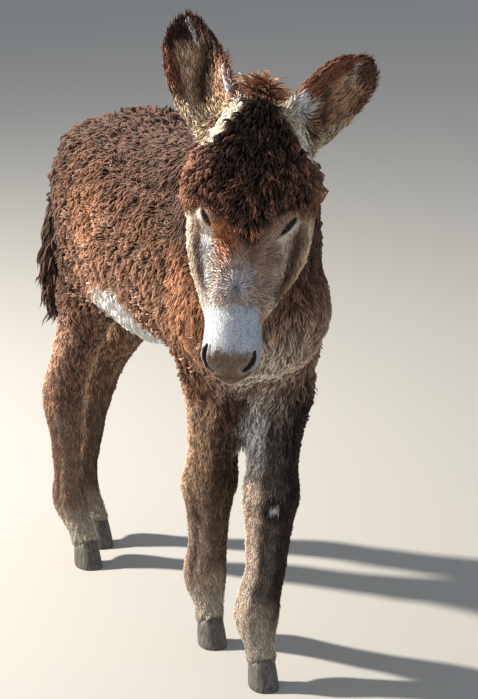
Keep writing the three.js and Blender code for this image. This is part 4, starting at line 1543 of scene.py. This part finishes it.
def named(tree, name, kind="FLOAT"):
    """What an attribute of that name says at each place."""
    made = node(tree, "GeometryNodeInputNamedAttribute", {"Name": name}, data_type=kind)
    return made.outputs["Attribute"]


def stored(tree, geometry, name, value, kind, domain):
    inputs = {"Geometry": geometry, "Name": name, "Value": value}
    made = node(tree, "GeometryNodeStoreNamedAttribute", inputs, data_type=kind, domain=domain)
    return made.outputs["Geometry"]


def of_type(sockets, kind):
    return [socket for socket in sockets if socket.type == kind]


def random_between(tree, low, high, **inputs):
    """A random number, or a vector where low is one, that differs from lock to lock."""
    kind, sort = ("FLOAT_VECTOR", "VECTOR") if isinstance(low, tuple) else ("FLOAT", "VALUE")
    made = node(tree, "FunctionNodeRandomValue", inputs, data_type=kind)
    for socket, value in zip(of_type(made.inputs, sort), (low, high)):
        socket.default_value = value
    return of_type(made.outputs, sort)[0]


# %% [markdown]
# Wool stands in tufts of some nine millimetres. A noise field stretched along the comb of the hair
# marks them. Its value raises the middle of a tuft, and its slope to the left and right turns the
# locks towards that middle, so that they gather as real wool does.

# %% How each lock stands
HALF_STEP = 0.003  # to each side, where the slope of the tufts is measured, in metres
FURROW = 0.55  # how much the noise is drawn out along the comb


def tuft_noise(tree, comb, offset=None):
    """Noise in furrows, twice as long in the direction of the comb as they are wide."""
    place = node(tree, "GeometryNodeInputPosition").outputs["Position"]
    if offset is not None:
        place = vector(tree, "ADD", place, offset)
    dot = node(tree, "ShaderNodeVectorMath", {0: place, 1: comb}, operation="DOT_PRODUCT")
    inputs = {0: comb, "Scale": number(tree, "MULTIPLY", dot.outputs["Value"], FURROW)}
    back = node(tree, "ShaderNodeVectorMath", inputs, operation="SCALE").outputs["Vector"]
    inputs = {"Vector": vector(tree, "SUBTRACT", place, back), "Scale": 125.0, "Detail": 1.0}
    return node(tree, "ShaderNodeTexNoise", inputs).outputs[0]


def scattered(tree, given):
    """Points on the squares of one piece of coat, with the spacing between them."""
    here = node(tree, "FunctionNodeCompare", data_type="INT", operation="EQUAL")
    for socket, value in zip(of_type(here.inputs, "INT"), (named(tree, "piece", "INT"), given["Piece"])):
        tree.links.new(value, socket)
    inputs = {"Mesh": given["Geometry"], "Selection": here.outputs["Result"], "Seed": given["Seed"]}
    inputs |= {"Distance Min": given["Spacing"], "Density Max": 400000.0}
    made = node(tree, "GeometryNodeDistributePointsOnFaces", inputs, distribute_method="POISSON")
    return made.outputs["Points"]


def lock_turn(tree, given):
    """Upright on the skin and along the lie, then tipped, turned at random and gathered."""
    up, lie = named(tree, "up", "FLOAT_VECTOR"), named(tree, "lie", "FLOAT_VECTOR")
    upright = node(
        tree, "FunctionNodeAxesToRotation", {"Primary Axis": up, "Secondary Axis": lie},
        primary_axis="Z", secondary_axis="X",
    )
    side = vector(tree, "CROSS_PRODUCT", up, lie)
    steps = [vector(tree, "MULTIPLY", side, (step,) * 3) for step in (HALF_STEP, -HALF_STEP)]
    slope = number(tree, "SUBTRACT", *(tuft_noise(tree, given["Comb"], step) for step in steps))
    gather = number(tree, "MULTIPLY", slope, given["Gather"])
    stray = random_between(tree, (-0.7, -0.3, -1.0), (0.7, 0.3, 1.0), Seed=given["Seed"])
    turn = vector(tree, "MULTIPLY", stray, combined(tree, **dict.fromkeys("XYZ", given["Disorder"])))
    tip = combined(tree, Y=given["Stand"], Z=number(tree, "MULTIPLY", gather, -1.0))
    turn = vector(tree, "SUBTRACT", turn, tip)
    euler = node(tree, "FunctionNodeEulerToRotation", {"Euler": turn}).outputs["Rotation"]
    inputs = {"Rotation": upright.outputs["Rotation"], "Rotate By": euler}
    made = node(tree, "FunctionNodeRotateRotation", inputs, rotation_space="LOCAL")
    return made.outputs["Rotation"]


def lock_size(tree, given):
    """The three numbers of the skin, varied from lock to lock, and higher inside a tuft."""
    stored_size = combined(tree, X=named(tree, "long"), Y=named(tree, "wide"), Z=named(tree, "lift"))
    varied = random_between(tree, (0.75, 0.8, 0.75), (1.2, 1.2, 1.25))
    size = vector(tree, "MULTIPLY", stored_size, varied)
    height = number(tree, "MULTIPLY", tuft_noise(tree, given["Comb"]), 2.0)
    return vector(tree, "MULTIPLY", size, combined(tree, X=1.0, Y=1.0, Z=height))


def lock_choice(tree, given):
    """Neighbours mostly choose the same lock, because wool waves together."""
    return number(
        tree, "MULTIPLY_ADD", named(tree, "kind"), given["Kinds"], random_between(tree, -0.9, 0.9)
    )


# %% [markdown]
# Last, each lock gets a number for how light it is, and its patch on a picture that the colours
# can be baked into: a few thousandths of the picture's width round the place of its root on the
# skin's own map.

# %% The planting tree
TREE_INPUTS = (
    ("Piece", "Int"), ("Spacing", "Float"), ("Seed", "Int"), ("Stand", "Float"), ("Disorder", "Float"),
    ("Gather", "Float"), ("Comb", "Vector"), ("Kinds", "Int"), ("Locks", "Collection"),
    ("Hair", "Material"),
)
PATCH = 0.003  # the width of a lock's patch, as a share of the picture


def planting_tree():
    tree = bpy.data.node_groups.new("plant_locks", "GeometryNodeTree")
    face = tree.interface
    face.new_socket("Geometry", in_out="INPUT", socket_type="NodeSocketGeometry")
    for name, kind in TREE_INPUTS:
        face.new_socket(name, in_out="INPUT", socket_type="NodeSocket" + kind)
    face.new_socket("Geometry", in_out="OUTPUT", socket_type="NodeSocketGeometry")
    given = node(tree, "NodeGroupInput").outputs

    inputs = {"Collection": given["Locks"], "Separate Children": True, "Reset Children": True}
    source = node(tree, "GeometryNodeCollectionInfo", inputs)
    inputs = {"Points": scattered(tree, given), "Instance": source.outputs["Instances"]}
    inputs |= {"Pick Instance": True, "Instance Index": lock_choice(tree, given)}
    inputs |= {"Rotation": lock_turn(tree, given), "Scale": lock_size(tree, given)}
    planted = node(tree, "GeometryNodeInstanceOnPoints", inputs).outputs["Instances"]

    # painted light on the tops of the tufts and painted shade in their furrows, with a random part for
    # each lock
    shade = number(tree, "MULTIPLY_ADD", tuft_noise(tree, given["Comb"]), 2.2, -0.9)
    shade = number(tree, "MULTIPLY_ADD", random_between(tree, 0.0, 1.0), 0.6, shade)
    planted = stored(tree, planted, "shade", shade, "FLOAT", "INSTANCE")
    real = node(tree, "GeometryNodeRealizeInstances", {"Geometry": planted}).outputs["Geometry"]

    place = vector(tree, "SUBTRACT", named(tree, "tuft_uv", "FLOAT_VECTOR"), (0.5, 0.5, 0.0))
    place = vector(tree, "MULTIPLY", place, (PATCH, PATCH, 0.0))
    place = vector(tree, "ADD", place, named(tree, "skin_map", "FLOAT_VECTOR"))
    real = stored(tree, real, "OFBake", place, "FLOAT2", "CORNER")
    finish = node(tree, "GeometryNodeSetMaterial", {"Geometry": real, "Material": given["Hair"]})
    node(tree, "NodeGroupOutput", {"Geometry": finish.outputs["Geometry"]})
    return tree


tree = planting_tree()
print("the tree has", len(tree.nodes), "nodes")

# %% [markdown]
# ## Hair and skin materials
#
# The colour of both comes from the markings. A lock is darker at its root, as painted shade where
# light hardly reaches, and paler at its tip as a painted highlight, and each lock differs a little
# from the next, as wool does, with painted light on the tops of the tufts and painted shade in their
# furrows. The bare skin between the locks is darker where the coat is deep, as painted shade under
# the hair, with a fine bump like short down.

# %% Hair and skin materials
def material(name, finish):
    """A new material; the finish gives the plain numbers for its shader's sockets."""
    made = bpy.data.materials.new(name)
    made.use_nodes = True
    shader = made.node_tree.nodes["Principled BSDF"]
    for socket, value in finish.items():
        shader.inputs[socket].default_value = value
    return made, made.node_tree, shader


def attribute(tree, name, output="Color"):
    return node(tree, "ShaderNodeAttribute", attribute_name=name).outputs[output]


def ranged(tree, value, low, high, to_low, to_high):
    inputs = {"Value": value, "From Min": low, "From Max": high, "To Min": to_low, "To Max": to_high}
    return node(tree, "ShaderNodeMapRange", inputs, interpolation_type="SMOOTHSTEP").outputs["Result"]


def scaled_coat(tree, factor):
    """The painted colour of the place, made lighter or darker."""
    inputs = {0: attribute(tree, "coat"), "Scale": factor}
    return node(tree, "ShaderNodeVectorMath", inputs, operation="SCALE").outputs["Vector"]


HAIR_FINISH = {"Roughness": 0.72, "Specular IOR Level": 0.15, "Sheen Weight": 0.05, "Sheen Roughness": 0.5}
WHITEST = 0.93


def hair_material(name, root, tip, darkest, lightest):
    made, tree, shader = material(name, HAIR_FINISH)
    # painted shade at the root of each lock and a painted highlight at its tip
    ramp = ranged(tree, attribute(tree, "along", "Fac"), 0.05, 1.0, root, tip)
    each = ranged(tree, attribute(tree, "shade", "Fac"), 0.0, 1.0, darkest, lightest)
    colour = scaled_coat(tree, number(tree, "MULTIPLY", ramp, each))
    capped = vector(tree, "MINIMUM", colour, (WHITEST,) * 3)
    tree.links.new(capped, shader.inputs["Base Color"])
    return made


def skin_material():
    made, tree, shader = material("skin", {"Roughness": 0.8, "Specular IOR Level": 0.2})
    # painted shade on the skin where the coat over it is deep
    depth = ranged(tree, attribute(tree, "bare", "Fac"), 0.35, 1.0, 0.30, 0.92)
    tree.links.new(scaled_coat(tree, depth), shader.inputs["Base Color"])
    place = node(tree, "ShaderNodeTexCoord").outputs["Object"]
    down = node(tree, "ShaderNodeTexNoise", {"Scale": 420.0, "Detail": 3.0, "Vector": place})
    inputs = {"Strength": 0.35, "Distance": 0.6 * MM, "Height": down.outputs["Fac"]}
    bump = node(tree, "ShaderNodeBump", inputs)
    tree.links.new(bump.outputs["Normal"], shader.inputs["Normal"])
    return made


wool_hair = hair_material("wool", 0.32, 1.45, 0.6, 1.45)
short_hair = hair_material("short_hair", 0.42, 1.32, 0.52, 1.5)
ear_hair = hair_material("ear_hair", 0.5, 1.25, 0.66, 1.34)
tail_brush = hair_material("tail_brush", 0.5, 1.3, 0.6, 1.4)
skin.data.materials.clear()
skin.data.materials.append(skin_material())
print("materials:", [m.name for m in bpy.data.materials])

# %% [markdown]
# ## The coat, piece by piece
#
# Every piece is a copy of the skin with the planting tree on it, turned into plain mesh. Wool
# stands three millimetres apart in strong tufts, and the short hair of face and legs closer and
# flatter. The lashes are the same hair in one thin row. All pieces start from the same values, and
# the table says only what is different on each.

# %% The coat, piece by piece
WOOL = {"Locks": woolly, "Hair": wool_hair, "Spacing": 3.05, "Stand": 0.0, "Disorder": 0.24}
WOOL |= {"Gather": 2.2, "Comb": (0.0, 0.2, -0.98)}
SIDES = WOOL | {"Comb": (0.0, 0.6, -0.8)}
BREAST = WOOL | {"Locks": soft, "Spacing": 2.7, "Gather": 1.4}
SHORT = WOOL | {"Locks": sleek, "Hair": short_hair, "Spacing": 2.35, "Disorder": 0.2, "Gather": 0.8}
BRUSH = WOOL | {"Locks": long_hair}
GROWTH = dict.fromkeys(("flank_right", "flank_left", "shoulder_right", "shoulder_left"), SIDES) | {
    "neck": BREAST | {"Spacing": 2.75},
    "chest": BREAST,
    "face": SHORT | {"Spacing": 2.1, "Disorder": 0.18, "Gather": 0.4},
    "crown": WOOL | {"Locks": soft, "Spacing": 2.35, "Stand": 0.12, "Disorder": 0.34},
    "ears": WOOL | {"Locks": soft, "Hair": ear_hair, "Spacing": 2.1, "Disorder": 0.3, "Gather": 0.8},
    "tail": BRUSH | {"Hair": tail_brush, "Spacing": 3.6, "Disorder": 0.16, "Gather": 1.2},
    "mane": BRUSH | {"Spacing": 2.9, "Stand": 1.0, "Disorder": 0.5, "Gather": 1.0},
    "belly": SHORT | {"Spacing": 2.9, "Disorder": 0.24, "Gather": 1.2},
    "lashes": SHORT | {"Spacing": 0.65, "Gather": 0.0},
}
FIRST_SEED = 20
SPARE = ["up", "lie", "long", "wide", "lift", "piece", "skin_map", "tuft_uv", "bare", "kind"]
SPARE += ["in_" + part for part in FLESH]


def socket_of(tree, name):
    sockets = [i for i in tree.interface.items_tree if i.in_out == "INPUT"]
    return next(i.identifier for i in sockets if i.name == name)


def grown(index, name):
    growth = dict(GROWTH.get(name, SHORT))
    growth["Spacing"] *= MM
    growth |= {"Piece": index, "Seed": FIRST_SEED + index, "Kinds": len(growth["Locks"].objects) - 1}
    coat = mesh_object("coat_" + name, skin.data)
    plant = coat.modifiers.new("plant", "NODES")
    plant.node_group = tree
    for socket, value in growth.items():
        plant[socket_of(tree, socket)] = value
    mesh = baked(coat)
    for spare in SPARE:
        if spare in mesh.attributes:
            mesh.attributes.remove(mesh.attributes[spare])
    return coat


coats = {name: grown(index, name) for index, name in enumerate(PIECES)}
triangles = {n: sum(len(p.vertices) - 2 for p in c.data.polygons) for n, c in coats.items()}
print("triangles of coat:", triangles, sum(triangles.values()))

# %% [markdown]
# ## Eyes
#
# The ball is nearly black, so what makes it an eye is the wet shine. The iris is a dark brown ring
# round a pupil that lies level, like a donkey's.

# %% Eyes
WET = {"Roughness": 0.2, "Specular IOR Level": 0.2, "Coat Weight": 0.25, "Coat Roughness": 0.03}


def eye_mesh(side):
    middle, axis, along, across, half = eye_frame(side)
    work = bmesh.new()
    bmesh.ops.create_uvsphere(work, u_segments=56, v_segments=36, radius=1.0)
    mesh = bpy.data.meshes.new("eye_" + side)
    work.to_mesh(mesh)
    work.free()
    ball = points_of(mesh)
    turned = ball[:, :1] * along + ball[:, 1:2] * across + ball[:, 2:] * axis
    bulge = 1 + 0.05 * fade(ball[:, 2], 0.75, 1.0)
    move_points(mesh, from_face(middle + turned * (EYE_RADIUS - 0.6) * bulge[:, None]))
    ring = np.hypot(ball[:, 0], ball[:, 1])
    pupil = np.hypot(ball[:, 0] / 1.7, ball[:, 1])
    iris_and_pupil = (fade(ring, 0.68, 0.60), (48, 30, 18)), (fade(pupil, 0.24, 0.20), (8, 7, 9))
    put(mesh, "coat", laid(all_over(ball, (60, 48, 42)), *iris_and_pupil), "FLOAT_COLOR")
    if mesh.polygons[0].normal.dot(mesh.polygons[0].center - Vector(EYE_MIDDLES[side])) < 0:
        mesh.flip_normals()
    shade_smooth(mesh)
    return mesh


wet, wet_tree, wet_shader = material("wet_eye", WET)
wet_tree.links.new(attribute(wet_tree, "coat"), wet_shader.inputs["Base Color"])
eyes = {}
for side in ("right", "left"):
    eyes[side] = mesh_object("eyeball_" + side, eye_mesh(side))
    eyes[side].data.materials.append(wet)
print("eyeballs:", [round(v, 3) for v in eyes["left"].dimensions])

# %% [markdown]
# ## Hooves
#
# A foal's hoof is a small rounded box of horn. The solid has the right size and lean, so a copy of
# it is merged, rounded by Subdivision Surface with its rims creased, and given fine growth rings.

# %% Hooves
HOOVES = [n for n in frame["nodes"] if n.startswith("hoof_")]
RIM_ANGLE = math.radians(48)
RIM_CREASE = 0.85
RING_DEPTH, RING_WIDTH = 0.22, 1.15  # of the growth rings, in millimetres


def hoof_mesh(name):
    work = bmesh.new()
    work.from_mesh(frame["nodes"][name].data)
    bmesh.ops.remove_doubles(work, verts=work.verts, dist=0.01 * MM)
    creases = work.edges.layers.float.new("crease_edge")
    for edge in work.edges:
        if len(edge.link_faces) == 2 and edge.calc_face_angle() > RIM_ANGLE:
            edge[creases] = RIM_CREASE
    mesh = bpy.data.meshes.new("horn_" + name)
    work.to_mesh(mesh)
    work.free()
    horn = mesh_object("horn_" + name, mesh)
    smooth = horn.modifiers.new("smooth", "SUBSURF")
    smooth.levels = smooth.render_levels = 2
    mesh = baked(horn)
    points = points_of(mesh)
    z = points[:, 2]
    rings = RING_DEPTH * np.sin(z / (RING_WIDTH * MM)) * fade(z, 0.004, 0.01) * fade(z, 0.046, 0.040)
    points += normals_of(mesh) * np.array((1, 1, 0)) * (rings * MM)[:, None]
    points[:, 2] = np.where(points[:, 2] < 0.6 * MM, 0.0, points[:, 2])
    move_points(mesh, points)
    shade_smooth(mesh)
    return horn


# %% [markdown]
# Horn is matt and grey, with faint fibres that run down the wall of the hoof. A noise texture
# squeezed in the upright direction draws them.

# %% Horn
def horn_material():
    made, tree, shader = material("hoof_horn", {"Roughness": 0.62})
    place = node(tree, "ShaderNodeTexCoord").outputs["Object"]
    drawn_out = node(tree, "ShaderNodeMapping", {"Vector": place, "Scale": (1.0, 1.0, 0.12)})
    inputs = {"Vector": drawn_out.outputs["Vector"], "Scale": 260.0, "Detail": 4.0}
    fibres = node(tree, "ShaderNodeTexNoise", inputs).outputs["Fac"]
    ramp = node(tree, "ShaderNodeValToRGB", {"Fac": fibres})
    stops = ((0.35, (62, 56, 50)), (0.7, (112, 106, 98)))
    for element, (position, shade) in zip(ramp.color_ramp.elements, stops):
        element.position = position
        element.color = (*tone(shade), 1)
    tree.links.new(ramp.outputs["Color"], shader.inputs["Base Color"])
    return made


grey_horn = horn_material()
hooves = {}
for name in HOOVES:
    hooves[name] = hoof_mesh(name)
    hooves[name].data.materials.clear()
    hooves[name].data.materials.append(grey_horn)
print("hooves:", len(hooves), "of", len(hooves[HOOVES[0]].data.polygons), "faces")

# %% [markdown]
# ## Where each piece belongs
#
# The coat and skin together stand for all the soft solids, the eyeballs and hooves for their own.
# Nothing turns or slides on a still animal, so every piece rides on the one body.

# %% Where each piece belongs
COAT_SLOTS = {"face": "coat_face", "crown": "coat_face", "lashes": "coat_face"}
COAT_SLOTS |= {"ears": "coat_ear", "tail": "tail_hair"}
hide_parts(*FLESH)
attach(skin, "root")
for name, coat in coats.items():
    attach(coat, "root")
for side, eyeball in eyes.items():
    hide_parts("eye_" + side)
    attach(eyeball, "root")
for name, horn in hooves.items():
    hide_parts(name)
    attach(horn, "root")
for collection in (woolly, sleek, soft, long_hair):
    for lock in list(collection.objects):
        bpy.data.objects.remove(lock)
    bpy.data.collections.remove(collection)
print("pieces:", 1 + len(coats) + len(eyes) + len(hooves))

# %% [markdown]
# ## Light and floor
#
# A low sun from the left and slightly behind lights the tips of the coat and leaves the near side
# in soft shade. A small strong lamp does this with slightly soft edges, a large weak one gives a
# little form to the shade, and the pale world fills the rest.

# %% Light and floor
FLOOR_HALF = 15.0
AIM = (0, -0.1, 0.6)
SKY = (0.76, 0.84, 0.97, 1)
SKY_STRENGTH = 0.52

corners = [(-FLOOR_HALF, -FLOOR_HALF, 0), (FLOOR_HALF, -FLOOR_HALF, 0)]
corners += [(FLOOR_HALF, FLOOR_HALF, 0), (-FLOOR_HALF, FLOOR_HALF, 0)]
floor_mesh = bpy.data.meshes.new("floor")
floor_mesh.from_pydata(corners, [], [(0, 1, 2, 3)])
floor = mesh_object("floor", floor_mesh)
pale = material("pale_floor", {"Base Color": (0.42, 0.40, 0.36, 1), "Roughness": 0.9})[0]
floor.data.materials.append(pale)


def lamp(name, place, size, watts, colour):
    data = bpy.data.lights.new(name, "AREA")
    data.size = size
    data.energy = watts
    data.color = colour
    made = bpy.data.objects.new(name, data)
    made.location = place
    made.rotation_euler = (Vector(AIM) - Vector(place)).to_track_quat("-Z", "Y").to_euler()
    bpy.context.scene.collection.objects.link(made)


lamp("sun", (-3.0, 1.9, 2.95), 0.2, 540, (1.0, 0.95, 0.88))
lamp("fill", (1.8, -3.6, 2.2), 3.0, 12, (0.9, 0.95, 1.0))
world = bpy.data.worlds.new("sky")
world.use_nodes = True
world.node_tree.nodes["Background"].inputs["Color"].default_value = SKY
world.node_tree.nodes["Background"].inputs["Strength"].default_value = SKY_STRENGTH
bpy.context.scene.world = world
bpy.context.scene.view_settings.view_transform = "Standard"
